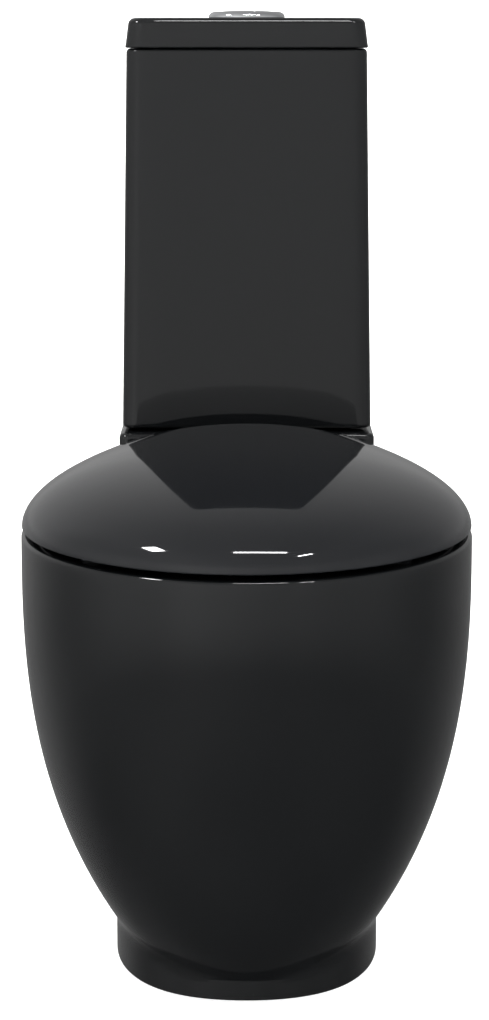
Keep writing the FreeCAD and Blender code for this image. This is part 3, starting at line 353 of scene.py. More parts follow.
def blue_acetal():
    """Acetal, dyed and injection moulded: an even blue with a soft sheen, its grain drawn coarser than life."""
    return mottled("acetal_blue_moulded", "#1f4f9c", "#295cab", 0.35, 0.0, 0.8, 0.004, 1.48)


def moulded_rubber():
    """EPDM rubber, compression moulded: a dull black with a dusty bloom."""
    return mottled("epdm_rubber_moulded", "#1a1a1b", "#262627", 0.75, 0.0, 0.5, 0.01, 1.52)


def milky_silicone():
    """Silicone rubber, moulded: clear gone milky, so it reads as a soft pale grey."""
    return mottled("silicone_milky_moulded", "#9a9c9e", "#b4b6b8", 0.45, 0.0, 0.6, 0.006, 1.41)


def stainless_steel():
    """A2 stainless steel, turned and rolled: a warm pale grey with fine tool marks."""
    return mottled("stainless_steel_turned", "#a9a8a5", "#bcbbb8", 0.3, 1.0, 0.4, 0.003)


def zinc_plate():
    """Zinc plate on pressed steel: bluish, with the patchy haze of its passivation."""
    return mottled("zinc_plated_steel", "#a3a8ae", "#b9bcc0", 0.38, 1.0, 6.0, 0.004)


FINISHES = {
    "black_ceramic": black_glaze,
    "seat_plastic": black_duroplast,
    "chrome": polished_chrome,
    "white_plastic": white_polypropylene,
    "grey_plastic": grey_acetal,
    "blue_plastic": blue_acetal,
    "rubber": moulded_rubber,
    "clear_rubber": milky_silicone,
    "steel": stainless_steel,
    "zinc_steel": zinc_plate,
}
MADE = {}  # materials by slot, once they are made


def slot_of(node):
    """The name of the record's material slot for a CAD node."""
    return next(s["material_slot"] for s in FRAME["record"]["subparts"] if s["node"] == node)


def finish_of(node):
    """A CAD node's material, made the first time that it is asked for."""
    slot = slot_of(node)
    if slot not in MADE:
        MADE[slot] = FINISHES[slot]()
    return MADE[slot]


def dress(piece, node):
    """Gives a finished piece its material, and lets it stand for a CAD node on that node's body."""
    piece.name = piece.data.name = f"{node}_look"
    piece.data.materials.clear()
    piece.data.materials.append(finish_of(node))
    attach(piece, FRAME["nodes"][node]["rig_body"])
    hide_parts(node)
    return piece


def dress_frame():
    """Gives every CAD node its material; those with a look of their own are hidden later."""
    for node, piece in FRAME["nodes"].items():
        piece.data.materials.clear()
        piece.data.materials.append(finish_of(node))


# ---------------------------------------------------------------- mesh tools


def mesh_object(name, bm, smooth=True):
    """A mesh object from a bmesh in millimetres, with outward faces and edges that stay sharp at corners."""
    bmesh.ops.remove_doubles(bm, verts=bm.verts, dist=1e-4)
    bmesh.ops.dissolve_degenerate(bm, edges=bm.edges, dist=1e-5)
    bmesh.ops.recalc_face_normals(bm, faces=bm.faces)
    bmesh.ops.scale(bm, vec=(MM, MM, MM), verts=bm.verts)
    mesh = bpy.data.meshes.new(name)
    bm.to_mesh(mesh)
    bm.free()
    if smooth:
        soften(mesh)
    piece = bpy.data.objects.new(name, mesh)
    bpy.context.scene.collection.objects.link(piece)
    return piece


def soften(mesh):
    """Smooth shading, with hard edges kept where faces meet at an angle."""
    mesh.shade_smooth()
    mesh.set_sharp_from_angle(angle=SMOOTH_ANGLE)


def add_rings(bm, rings, closed=False, capped=True):
    """Skins a stack of rings with equal numbers of points; closed joins the last to the first."""
    rows = [[bm.verts.new(point) for point in ring] for ring in rings]
    count = len(rows[0])
    pairs = list(zip(rows, rows[1:] + rows[:1] if closed else rows[1:]))
    for low, high in pairs:
        for i in range(count):
            j = (i + 1) % count
            bm.faces.new((low[i], low[j], high[j], high[i]))
    if capped and not closed:
        bm.faces.new(rows[0][::-1])
        bm.faces.new(rows[-1])
    return rows


def rings_object(name, rings, closed=False):
    """A piece skinned over a stack of rings, in millimetres."""
    bm = bmesh.new()
    add_rings(bm, rings, closed)
    return mesh_object(name, bm)


def lathe_object(name, profile, centre=(0, 0, 0), axis="Z", segments=96, closed=False):
    """A turned piece. The profile is a list of (radius, height) from bottom to top; radius 0 makes a pole."""
    bm = bmesh.new()
    turn = {
        "Z": Matrix.Identity(3),
        "X": Matrix.Rotation(math.pi / 2, 3, "Y"),
        "Y": Matrix.Rotation(-math.pi / 2, 3, "X"),
    }[axis]
    place = Vector(centre)
    rows = []
    for radius, height in profile:
        if radius < 1e-6:
            rows.append([bm.verts.new(turn @ Vector((0, 0, height)) + place)])
            continue
        ring = []
        for k in range(segments):
            a = 2 * math.pi * k / segments
            point = Vector((radius * math.cos(a), radius * math.sin(a), height))
            ring.append(bm.verts.new(turn @ point + place))
        rows.append(ring)
    for low, high in zip(rows, rows[1:] + rows[:1] if closed else rows[1:]):
        for k in range(segments):
            j = (k + 1) % segments
            corners = [low[k % len(low)], low[j % len(low)], high[j % len(high)], high[k % len(high)]]
            corners = list(dict.fromkeys(corners))
            if len(corners) > 2:
                bm.faces.new(corners)
    return mesh_object(name, bm)


def tube_profile(inner, outer, low, high):
    """The profile of a plain rod, or of a ring when it has an inner radius."""
    if inner == 0:
        return [(0, low), (outer, low), (outer, high), (0, high)]
    return [(inner, low), (outer, low), (outer, high), (inner, high)]


def rounded_profile(points, radius, steps=4):
    """Rounds each inner corner of a profile, by the smaller of the radius and 45% of its shorter side."""
    done = [points[0]]
    for before, here, after in zip(points, points[1:], points[2:]):
        a, b, c = Vector(before), Vector(here), Vector(after)
        back, ahead = (a - b), (c - b)
        reach = min(radius, back.length * 0.45, ahead.length * 0.45)
        start, end = b + back.normalized() * reach, b + ahead.normalized() * reach
        for k in range(steps + 1):
            t = k / steps
            done.append(tuple((1 - t) ** 2 * start + 2 * t * (1 - t) * b + t * t * end))
    return done + [points[-1]]


def box_object(name, low, high):
    """A square block, used only to cut other pieces or to web them together."""
    bm = bmesh.new()
    bmesh.ops.create_cube(bm, size=1)
    size = Vector(high) - Vector(low)
    bmesh.ops.scale(bm, vec=size, verts=bm.verts)
    bmesh.ops.translate(bm, vec=(Vector(low) + Vector(high)) / 2, verts=bm.verts)
    return mesh_object(name, bm)


def tube_object(name, path, radius, segments=64):
    """A round tube along a path in the plane x = 0, given as (y, z) points."""
    rings = []
    for k, (y, z) in enumerate(path):
        before, after = path[max(k - 1, 0)], path[min(k + 1, len(path) - 1)]
        ahead = Vector((0, after[0] - before[0], after[1] - before[1])).normalized()
        side = Vector((1, 0, 0))
        up = side.cross(ahead)
        rings.append(
            [
                Vector((0, y, z)) + radius * (math.cos(a) * side + math.sin(a) * up)
                for a in (2 * math.pi * i / segments for i in range(segments))
            ]
        )
    return rings_object(name, rings)


def cut_or_join(piece, operation, tools):
    """Applies boolean tools to a piece, and removes them."""
    for tool in tools:
        modifier = piece.modifiers.new("combine", "BOOLEAN")
        modifier.operation = operation
        modifier.solver = "MANIFOLD"
        modifier.object = tool
        settle(piece)
        bpy.data.objects.remove(tool)
    return piece


def settle(piece):
    """Turns a piece with modifiers into a plain mesh."""
    graph = bpy.context.evaluated_depsgraph_get()
    mesh = bpy.data.meshes.new_from_object(piece.evaluated_get(graph))
    old = piece.data
    piece.modifiers.clear()
    piece.data = mesh
    mesh.name = piece.name
    bpy.data.meshes.remove(old)
    return piece


# ---------------------------------------------------------------- outlines


def bezier(p, q, r, s, steps):
    """Points along a cubic, without its last one."""
    p, q, r, s = (Vector(v) for v in (p, q, r, s))
    ts = [k / steps for k in range(steps)]
    return [(1 - t) ** 3 * p + 3 * t * (1 - t) ** 2 * q + 3 * t * t * (1 - t) * r + t**3 * s for t in ts]


ROUND = 0.5523  # handle length of a curve that draws a quarter of an ellipse


def egg_points(half, near, middle, far, far_half, bulge=0.6, steps=48):
    """The right side of an egg outline from its front to its rear middle, as x and y."""
    front = bezier(
        (0, near), (half * ROUND, near), (half, middle - (middle - near) * ROUND), (half, middle), steps
    )
    side = bezier(
        (half, middle), (half, middle + (far - middle) * bulge),
        (far_half + (half - far_half) * bulge, far), (far_half, far), steps,
    )
    return front + side + [Vector((far_half, far)), Vector((0, far))]


def reach(points, centre_y, angles):
    """Distance from (0, centre_y) to a right-hand outline along each angle from straight ahead, 0 to pi."""
    bearings = [math.atan2(p.x, centre_y - p.y) for p in points]
    distances = []
    k = 0
    for a in angles:
        while k < len(bearings) - 2 and bearings[k + 1] < a - 1e-12:
            k += 1
        p, q = points[k], points[k + 1]
        direction = Vector((math.sin(a), -math.cos(a)))
        edge = q - p
        cross = direction.x * edge.y - direction.y * edge.x
        origin = Vector((p.x, p.y - centre_y))
        if abs(cross) < 1e-12:
            distances.append(origin.length)
        else:
            distances.append((origin.x * edge.y - origin.y * edge.x) / cross)
    return np.array(distances)


def soft_max(a, b, softness):
    """The larger of two distances, with the crease between them filled in."""
    near = np.maximum(softness - np.abs(a - b), 0) / softness
    return np.maximum(a, b) + near * near * softness / 4


def full_circle(radii, angles, centre_y, z):
    """A ring mirrored from its right half."""
    right = [Vector((r * math.sin(a), centre_y - r * math.cos(a), z)) for r, a in zip(radii, angles)]
    left = [Vector((-p.x, p.y, z)) for p in right[-2:0:-1]]
    return right + left


def rounded_outline(half, near, far, radius, z, rear_radius=None, corner_steps=10, edge_steps=8):
    """A rectangle with rounded corners, counterclockwise from the middle of its front."""
    rear = radius if rear_radius is None else rear_radius
    points = []
    corners = [
        (half - radius, near + radius, radius, -90), (half - rear, far - rear, rear, 0),
        (-half + rear, far - rear, rear, 90), (-half + radius, near + radius, radius, 180),
    ]
    for x, y, r, start in corners:
        for k in range(corner_steps + 1):
            a = math.radians(start + 90 * k / corner_steps)
            points.append(Vector((x + r * math.cos(a), y + r * math.sin(a), z)))
    dense = []
    for p, q in zip(points, points[1:] + points[:1]):
        dense.append(p)
        if (q - p).length > radius:
            dense += [p.lerp(q, k / edge_steps) for k in range(1, edge_steps)]
    return dense


# ---------------------------------------------------------------- the pan

WALL = PAN_HIGH.y
FRONT = PAN_LOW.y
PAN_HALF = PAN_HIGH.x
DECK = PAN_HIGH.z
RIM = round(span("hinge_gaskets")[0].z, 1)
FOOT_HALF = 112.0  # half the width of the foot and the rear column
FOOT_SETBACK = 176.0  # front of the rim back to the front of the foot
FOOT_NOSE = 165.0  # depth of the foot's rounded front
WIDEST = FRONT + 240.0  # the bowl's widest line
SWAY = 85.0  # how far that line moves back at the bowl's base
BASE_HALF = 97.5  # half the width that the bowl narrows to
DECK_FRONT = TANK_LOW.y - 14.0  # front of the shelf under the cistern
HULL_TOP, HULL_BASE = 360.0, 17.0  # heights between which the bowl narrows
STAR = -20.0  # a place on the middle line from which every outline of the pan can be seen


def hull_points(z, inset):
    """The right side of the bowl's outline at a height, set in from its outside."""
    share = min(max((HULL_TOP - z) / (HULL_TOP - HULL_BASE), 0.0), 1.0)
    fall = share**2.45
    half = PAN_HALF - (PAN_HALF - BASE_HALF) * fall - inset
    near = FRONT + FOOT_SETBACK * fall + inset
    shoulder = DECK_FRONT + 4.0 - inset
    return egg_points(half, near, WIDEST + SWAY * fall, shoulder, half * FOOT_HALF / PAN_HALF)


def column_points(inset, far):
    """The right side of the foot and rear column's outline."""
    half, near = FOOT_HALF - inset, FRONT + FOOT_SETBACK + inset
    straight = FRONT + FOOT_SETBACK + FOOT_NOSE
    full = 0.65  # fuller than an ellipse
    turn_in = straight - (straight - near) * full
    nose = bezier((0, near), (half * full, near), (half, turn_in), (half, straight), 48)
    return nose + [Vector((half, straight)), Vector((half, far)), Vector((0, far))]


def pan_angles(count):
    """Angles from straight ahead to straight behind, closer together towards the column's corner."""
    corner = math.atan2(FOOT_HALF, STAR - WALL)
    side = math.atan2(PAN_HALF, STAR - DECK_FRONT)
    front = [side * k / (count * 3 // 5) for k in range(count * 3 // 5)]
    flank = [side + (corner - side) * k / (count // 4) for k in range(count // 4)]
    rear = [corner + (math.pi - corner) * k / (count // 8) for k in range(count // 8 + 1)]
    return front + flank + rear


def pan_ring(z, angles, hull_inset, column_inset, far, softness, with_hull=True, hull_z=None):
    """The pan's whole outline at a height: the bowl's and the column's together."""
    radii = reach(column_points(column_inset, far), STAR, angles)
    if with_hull:
        hull = reach(hull_points(z if hull_z is None else hull_z, hull_inset), STAR, angles)
        radii = soft_max(radii, hull, softness)
    return full_circle(radii, angles, STAR, z)


def oval_ring(z, half, near, far, segments=128):
    """An ellipse between two places on the middle line."""
    middle, length = (near + far) / 2, (far - near) / 2
    turns = [2 * math.pi * k / segments for k in range(segments)]
    return [Vector((half * math.sin(t), middle - length * math.cos(t), z)) for t in turns]


BOWL_FLOOR, LIP = 84.0, 348.0
OPENING = (122.0, FRONT + 61.0, HINGE.y - 58.0)  # half width, front and rear
SUMP = (34.0, -45.9, 12.1)  # half width, front and rear
UNDERCUT = 14.0  # bowl wall set back behind the lip
OUTLET_HEIGHT, TRAP_BORE, TRAP_BEND = 180.0, 36.0, 60.0
OUTLET_END = round(WALL - 15.0, 1)
DUCT_BORE, DUCT_BEND, DUCT_HEIGHT = 24.0, 45.0, 318.0


def bowl_rings(outset, shares):
    """The bowl's inside from its sump to its lip, or its outside when set out by its wall."""
    rings = []
    for share in shares:
        full = math.sin(math.pi / 2 * share) ** 1.2
        half = SUMP[0] + (OPENING[0] + UNDERCUT - SUMP[0]) * full + outset
        near = SUMP[1] + (OPENING[1] - UNDERCUT - SUMP[1]) * full - outset
        far = SUMP[2] + (OPENING[2] + UNDERCUT - SUMP[2]) * full + outset
        z = BOWL_FLOOR + (LIP - BOWL_FLOOR) * share - (outset if share == 0 else 0)
        rings.append(oval_ring(z, half, near, far))
    return rings


def arc_path(centre, radius, start, end, steps=14):
    """Points on an arc, its angles in degrees."""
    return [
        (centre[0] + radius * math.cos(math.radians(a)), centre[1] + radius * math.sin(math.radians(a)))
        for a in (start + (end - start) * k / steps for k in range(steps + 1))
    ]


def trap_path(start):
    """The trapway's middle line: up from the sump, over its crest and back to the outlet."""
    bend, level = TRAP_BEND, OUTLET_HEIGHT
    turn = round(SUMP[2] + 13.98, 2)
    fall = bend * (2 + math.sqrt(3))
    return (
        [(start, level - bend)]
        + arc_path((turn, level), bend, -90, 0)
        + arc_path((turn + 2 * bend, level), bend, 180, 30)[1:]
        + arc_path((turn + fall, level + bend), bend, 210, 270)[1:]
        + [(OUTLET_END, level)]
    )


def flush_path(top):
    """The flush passage's middle line: down from the cistern and forward into the rim."""
    bend = arc_path((FLUSH.y - DUCT_BEND, DUCT_HEIGHT + DUCT_BEND), DUCT_BEND, 0, -90)
    return [(FLUSH.y, top)] + bend + [(OPENING[2], DUCT_HEIGHT)]


def pan_body(settings):
    """The closed outside of the bowl, foot and column, up to the rim's rounded edge."""
    angles = pan_angles(settings.segments // 2)
    soft, edge = settings.crease, settings.rim_round
    levels = [0, 1.2] + [3 + 2.8 * k for k in range(16)] + [48 + 9.4 * k for k in range(34)] + [RIM - edge - 8]
    rings = []
    for z in [level for level in levels if level < RIM - edge - 4]:
        inset = 1.2 - z if z < 1.2 else 0
        rings.append(pan_ring(z, angles, 0, inset, WALL, soft, z > HULL_BASE + 0.1))
    for k in range(7):
        turn = math.radians(15 * k)
        z = RIM - edge + edge * math.sin(turn)
        rings.append(pan_ring(z, angles, edge * (1 - math.cos(turn)), 0, WALL, soft))
    return rings_object("pan_china", rings)


def pan_shelf(settings):
    """The raised shelf that the cistern stands on."""
    half, edge = FOOT_HALF - 0.02, settings.shelf_round
    shelf = [rounded_outline(half, DECK_FRONT, WALL - 0.02, 8.0, z, 0.5) for z in (RIM - 8, DECK - edge)]
    for k in range(1, 6):
        turn = math.radians(18 * k)
        i = edge * (1 - math.cos(turn))
        z = DECK - edge + edge * math.sin(turn)
        shelf.append(rounded_outline(half - i, DECK_FRONT + i, WALL - 0.02, 8.0 - i * 0.6, z, 0.5))
    return rings_object("shelf", shelf)


def pan_hollow(china):
    """The space inside the outer walls, open below and behind."""
    coarse, back = pan_angles(72), WALL + 10
    foot = (-1, 10, 20, 29.9)
    inner = [pan_ring(z, coarse, china, china, back, 3, False) for z in foot]
    inner += [pan_ring(z, coarse, china, china, back, 3, True, z - china) for z in range(32, 365, 12)]
    under_shelf = box_object("under_shelf", (-100, DECK_FRONT + china, 300), (100, back, DECK - 16))
    return [rings_object("hollow", inner), under_shelf]


def pan_waterways(shares, thick):
    """The outsides of the bowl, trapway, outlet and flush passage, with the web that holds the outlet."""
    bowl = bowl_rings(thick, shares)
    bowl.append([Vector((p.x, p.y, RIM - 8)) for p in bowl[-1]])
    end, level = OUTLET_END, OUTLET_HEIGHT
    spigot = [(0, end - 50), (51, end - 50), (51, end - 0.8), (50.2, end), (0, end)]
    return [
        rings_object("bowl", bowl),
        tube_object("trap", trap_path(8.0), TRAP_BORE + thick),
        lathe_object("spigot", spigot, (0, 0, level), "Y"),
        box_object("web", (-106, end - 55, level - 81), (106, end - 45, level + 60)),
        lathe_object("boss", tube_profile(0, 57, 398, 420), (0, FLUSH.y, 0)),
        tube_object("flush", flush_path(408.0), DUCT_BORE + 8),
    ]


def pan_cutters(shares):
    """The bowl's inside, its mouth with a rounded lip, the two passages and every bolt hole."""
    mouth = [oval_ring(z, *OPENING) for z in (LIP - 2, LIP + 6, LIP + 14)]
    for k in range(7):
        turn = math.radians(15 * k)
        i = 4 * (1 - math.cos(turn))
        mouth.append(oval_ring(RIM - 4 + 4 * math.sin(turn), OPENING[0] + i, OPENING[1] - i, OPENING[2] + i))
    mouth.append([Vector((p.x, p.y, RIM + 5)) for p in mouth[-1]])
    cutters = [
        rings_object("bowl_inside", bowl_rings(0, shares)),
        rings_object("mouth", mouth),
        tube_object("trap_bore", trap_path(-14.0)[:-1] + [(OUTLET_END + 5, OUTLET_HEIGHT)], TRAP_BORE),
        lathe_object("recess", tube_profile(0, 47, 408, DECK + 1), (0, FLUSH.y, 0)),
        tube_object("flush_bore", flush_path(409.0), DUCT_BORE),
        lathe_object("hole", tube_profile(0, 22.4, 396, DECK + 5), (FILL.x, FILL.y, 0), segments=48),
    ]
    for side in (-1, 1):
        seat_bolt, shelf_bolt = (STUD.x * side, STUD.y, 0), (BOLT.x * side, BOLT.y, 0)
        cutters.append(lathe_object("hole", tube_profile(0, 7, RIM - 40, RIM + 5), seat_bolt, segments=32))
        cutters.append(lathe_object("hole", tube_profile(0, 5.5, 405, DECK + 5), shelf_bolt, segments=32))
        across = tube_profile(0, 4, *sorted((90 * side, 120 * side)))
        cutters.append(lathe_object("hole", across, (0, SCREW.y, SCREW.z), "X", 32))
    return cutters


def build_pan(settings):
    """The pan: a bowl that narrows into a foot and a rear column, hollow behind and below."""
    pan = pan_body(settings)
    shares = [k / 24 for k in range(25)]
    cut_or_join(pan, "UNION", [pan_shelf(settings)])
    cut_or_join(pan, "DIFFERENCE", pan_hollow(settings.china))
    cut_or_join(pan, "UNION", pan_waterways(shares, settings.bowl_wall))
    cut_or_join(pan, "DIFFERENCE", pan_cutters(shares))
    soften(pan.data)
    return dress(pan, "pan")


# ---------------------------------------------------------------- the cistern


def tank_ring(z, inset, corner_inset=None):
    """The tank's outline at a height, set in from its outside: its front leans and its sides draw in."""
    share = (z - TANK_LOW.z) / (TANK_HIGH.z - TANK_LOW.z)
    lean, draft = (LID_LOW.y + 1 - TANK_LOW.y) * share, (TANK_HIGH.x - LID_HIGH.x + 1) * share
    corner = 14 - min(inset if corner_inset is None else corner_inset, 9)
    return rounded_outline(TANK_HIGH.x - draft - inset, TANK_LOW.y + lean + inset, WALL - inset, corner, z)


def build_tank(settings):
    """The open tank, with a rounded top edge and the valves' and bolts' holes in its floor."""
    base, top, wall = TANK_LOW.z, TANK_HIGH.z, settings.wall
    foot, edge, floor = 3.0, settings.tank_edge, TANK_LOW.z + 12
    rings = []
    for k in range(6):
        turn = math.radians(18 * k)
        rings.append(tank_ring(base + foot * (1 - math.cos(turn)), foot * (1 - math.sin(turn))))
    levels = [base + foot + 1.5] + [base + 20 + 20 * k for k in range(15)] + [top - edge - 1.5]
    rings += [tank_ring(z, 0) for z in levels]
    for k in range(7):
        turn = math.radians(15 * k)
        rings.append(tank_ring(top - edge + edge * math.sin(turn), edge * (1 - math.cos(turn))))
    for k in range(6):
        turn = math.radians(18 * k)
        rings.append(tank_ring(top - 1.5 + 1.5 * math.cos(turn), wall - 1.5 + 1.5 * math.sin(turn)))
    rings += [tank_ring(z, wall) for z in (top - 4, floor + 150, floor + 8)]
    for k in range(6):
        turn = math.radians(18 * k)
        rings.append(tank_ring(floor + 6 * (1 - math.sin(turn)), wall + 6 * (1 - math.cos(turn)), wall))
    tank = rings_object("tank_china", rings)
    holes = [(31, FLUSH.x, FLUSH.y), (11.4, FILL.x, FILL.y), (5.5, BOLT.x, BOLT.y), (5.5, -BOLT.x, BOLT.y)]
    cutters = [
        lathe_object("hole", tube_profile(0, radius, base - 5, floor + 5), (x, y, 0), segments=64)
        for radius, x, y in holes
    ]
    cut_or_join(tank, "DIFFERENCE", cutters)
    soften(tank.data)
    return dress(tank, "cistern_tank")


def lid_ring(z, inset, corner=14.0):
    """The lid's outline at a height, set in from its widest."""
    return rounded_outline(LID_HIGH.x - inset, LID_LOW.y + inset, WALL - inset, corner, z)


def build_lid(settings):
    """The lid: a shell with a rounded top, a drip edge and a lip that drops inside the tank."""
    top, base, edge = LID_HIGH.z, TANK_HIGH.z + 0.3, settings.lid_edge
    slope, lip_out, lip_in, drip = 2.5, 11.0, 17.0, 1.5
    shoulder, ceiling, lip_low = top - edge, top - 11, LID_LOW.z
    rings = []
    for k in range(9):
        turn = math.radians(90 - 11.25 * k)
        rings.append(lid_ring(shoulder + edge * math.sin(turn), slope + edge * (1 - math.cos(turn))))
    for z in (shoulder - 1.5, base + 12, base + drip + 1.5):
        rings.append(lid_ring(z, slope * (z - base) / (shoulder - base)))
    for k in range(6):
        turn = math.radians(18 * k)
        rings.append(lid_ring(base + drip * (1 - math.sin(turn)), drip * (1 - math.cos(turn))))
    rings += [lid_ring(base, 3.0), lid_ring(base, lip_out - 1), lid_ring(base - 1, lip_out)]
    rings += [lid_ring(lip_low + 1.5, lip_out), lid_ring(lip_low, lip_out + 1.5), lid_ring(lip_low, lip_in - 1.5)]
    rings += [lid_ring(lip_low + 1.5, lip_in), lid_ring(ceiling - 3, lip_in), lid_ring(ceiling, lip_in + 3)]
    lid = rings_object("lid_china", rings)
    hole = lathe_object("hole", tube_profile(0, 28.5, top - 30, top + 5), (0, FLUSH.y, 0))
    cut_or_join(lid, "DIFFERENCE", [hole])
    soften(lid.data)
    return dress(lid, "cistern_lid")


# ---------------------------------------------------------------- small pieces


def prism_object(name, points, axis, near, far):
    """A straight piece with the given outline: (y, z) along X, (x, z) along Y, or (x, y) along Z."""
    spread = {
        "X": lambda p, s: (s, p[0], p[1]),
        "Y": lambda p, s: (p[0], s, p[1]),
        "Z": lambda p, s: (p[0], p[1], s),
    }
    bm = bmesh.new()
    add_rings(bm, [[spread[axis](p, s) for p in points] for s in (near, far)])
    return mesh_object(name, bm)


def mirrored(piece):
    """Adds the mirror image across the middle to a piece's own mesh."""
    bm = bmesh.new()
    bm.from_mesh(piece.data)
    old = list(bm.verts) + list(bm.edges) + list(bm.faces)
    made = bmesh.ops.duplicate(bm, geom=old)["geom"]
    verts = [v for v in made if isinstance(v, bmesh.types.BMVert)]
    for v in verts:
        v.co.x = -v.co.x
    bmesh.ops.reverse_faces(bm, faces=[f for f in made if isinstance(f, bmesh.types.BMFace)])
    bm.to_mesh(piece.data)
    bm.free()
    soften(piece.data)
    return piece


def joined(piece, *others):
    """Puts other pieces' meshes into one piece."""
    bm = bmesh.new()
    for part in (piece, *others):
        bm.from_mesh(part.data)
    bm.to_mesh(piece.data)
    bm.free()
    for part in others:
        bpy.data.objects.remove(part)
    soften(piece.data)
    return piece


def turned(name, profile, centre=(0, 0, 0), axis="Z", edge=0.4, segments=96):
    """A turned piece with eased edges: a solid if its profile starts on the axis, or else a ring."""
    solid = profile[0][0] < 1e-6
    points = profile if solid else [profile[-1]] + profile + [profile[0]]
    points = rounded_profile(points, edge, 3)
    if not solid:
        points = points[1:-1]
    return lathe_object(name, points, centre, axis, segments, closed=not solid)


def bored(piece, *cutters):
    """Cuts holes in a piece and shades it again."""
    cut_or_join(piece, "DIFFERENCE", cutters)
    soften(piece.data)
    return piece


def lobed_object(name, inner, outer, low, high, centre, lobes, notch):
    """A nut with round notches to grip, and eased edges."""
    count = lobes * 24
    turns = [2 * math.pi * k / count for k in range(count)]

    def outline(ease, z):
        rim = []
        for t in turns:
            near = abs(math.sin(t * lobes / 2 + math.pi / 2))
            radius = outer - ease - notch * max(0.0, (near - 0.72) / 0.28) ** 0.8
            rim.append(Vector(centre) + Vector((radius * math.cos(t), radius * math.sin(t), z)))
        return rim

    def bore(ease, z):
        radius = inner + ease
        return [Vector(centre) + Vector((radius * math.cos(t), radius * math.sin(t), z)) for t in turns]

    rings = [bore(0, low + 0.5), bore(0.5, low), outline(0.8, low), outline(0, low + 0.8), outline(0, high - 0.8)]
    rings += [outline(0.8, high), bore(0.5, high), bore(0, high - 0.5)]
    return rings_object(name, rings, closed=True)


def wing_nut_object(name, bore, low, high, centre):
    """A nut to turn by hand: a turned hub with a flat wing on each side."""
    hub = turned(name, tube_profile(bore, bore + 4, low, high), centre, segments=48)
    wings = []
    for side in (-1, 1):
        near, tip = (bore + 4) * 0.8, bore + 14
        middle = (low + high) / 2
        outline = [(near, low + 0.6), (tip - 2, low - 4.6), (tip, low - 3)]
        outline += [(tip, middle - 1), (tip - 2, middle), (near, high - 0.6)]
        points = [(centre[0] + side * x, z) for x, z in outline]
        wings.append(prism_object("wing", points, "Y", centre[1] - 1.5, centre[1] + 1.5))
    cut_or_join(hub, "UNION", wings)
    soften(hub.data)
    return hub


# ---------------------------------------------------------------- threads


def thread_tree():
    """Geometry Nodes: a screw thread as one helical ridge."""
    tree = bpy.data.node_groups.new("screw_thread", "GeometryNodeTree")
    for name, kind, default in (
        ("Radius", "NodeSocketFloat", 0.004),
        ("Pitch", "NodeSocketFloat", 0.00125),
        ("Turns", "NodeSocketFloat", 10.0),
        ("Ridge", "NodeSocketFloat", 0.0005),
        ("Steps per turn", "NodeSocketInt", 32),
        ("Place", "NodeSocketVector", None),
        ("Direction", "NodeSocketVector", None),
        ("Material", "NodeSocketMaterial", None),
    ):
        socket = tree.interface.new_socket(name, in_out="INPUT", socket_type=kind)
        if default is not None:
            socket.default_value = default
    tree.interface.new_socket("Geometry", in_out="OUTPUT", socket_type="NodeSocketGeometry")
    given = add_node(tree, "NodeGroupInput")
    height = add_node(
        tree, "ShaderNodeMath", {"operation": "MULTIPLY"}, links={0: (given, "Pitch"), 1: (given, "Turns")}
    )
    helix = add_node(
        tree, "GeometryNodeCurveSpiral",
        links={
            "Resolution": (given, "Steps per turn"),
            "Rotations": (given, "Turns"),
            "Start Radius": (given, "Radius"),
            "End Radius": (given, "Radius"),
            "Height": (height, 0),
        },
    )
    ridge = add_node(
        tree, "GeometryNodeCurvePrimitiveCircle", {"mode": "RADIUS"}, {"Resolution": 4},
        {"Radius": (given, "Ridge")},
    )
    swept = add_node(
        tree, "GeometryNodeCurveToMesh", inputs={"Fill Caps": True},
        links={"Curve": (helix, "Curve"), "Profile Curve": (ridge, "Curve")},
    )
    placed = add_node(
        tree, "GeometryNodeTransform",
        links={"Geometry": (swept, "Mesh"), "Translation": (given, "Place"), "Rotation": (given, "Direction")},
    )
    real = add_node(tree, "GeometryNodeRealizeInstances", links={"Geometry": (placed, "Geometry")})
    finish = add_node(
        tree, "GeometryNodeSetMaterial", links={"Geometry": (real, "Geometry"), "Material": (given, "Material")}
    )
    output = add_node(tree, "NodeGroupOutput")
    tree.links.new(finish.outputs["Geometry"], output.inputs["Geometry"])
    return tree


def thread_object(node, radius, low, high, pitch, place, axis="Z"):
    """A ridge wound from low to high, whose crest is at the given radius; all in millimetres."""
    tree = bpy.data.node_groups.get("screw_thread") or thread_tree()
    sockets = {item.name: item.identifier for item in tree.interface.items_tree if item.in_out == "INPUT"}
    ridge = pitch * 0.45
    along, direction = ((1, 0, 0), (0.0, math.pi / 2, 0.0)) if axis == "X" else ((0, 0, 1), (0.0, 0.0, 0.0))
    values = {
        "Radius": (radius - ridge) * MM,
        "Pitch": pitch * MM,
        "Turns": (high - low - 2 * ridge) / pitch,
        "Ridge": ridge * MM,
        "Steps per turn": bpy.context.scene.toilet_fittings.thread_steps,
        "Direction": direction,
        "Place": tuple((Vector(place) + Vector(along) * (low + ridge)) * MM),
        "Material": finish_of(node),
    }
    piece = bpy.data.objects.new("thread", bpy.data.meshes.new("thread"))
    bpy.context.scene.collection.objects.link(piece)
    modifier = piece.modifiers.new("thread", "NODES")
    modifier.node_group = tree
    for key, value in values.items():
        modifier[sockets[key]] = value
    settle(piece)
    bm = bmesh.new()
    bm.from_mesh(piece.data)
    bmesh.ops.recalc_face_normals(bm, faces=bm.faces)
    bm.to_mesh(piece.data)
    bm.free()
    return piece


# ---------------------------------------------------------------- the push button


ROD_RADIUS, PUSH_FIT = 3.5, 0.05  # the push rods, and the clearance round them
BUTTON_WELL = 26.0  # radius of the housing's inside
THROAT = 28.0  # radius of its threaded outside, in the lid's hole


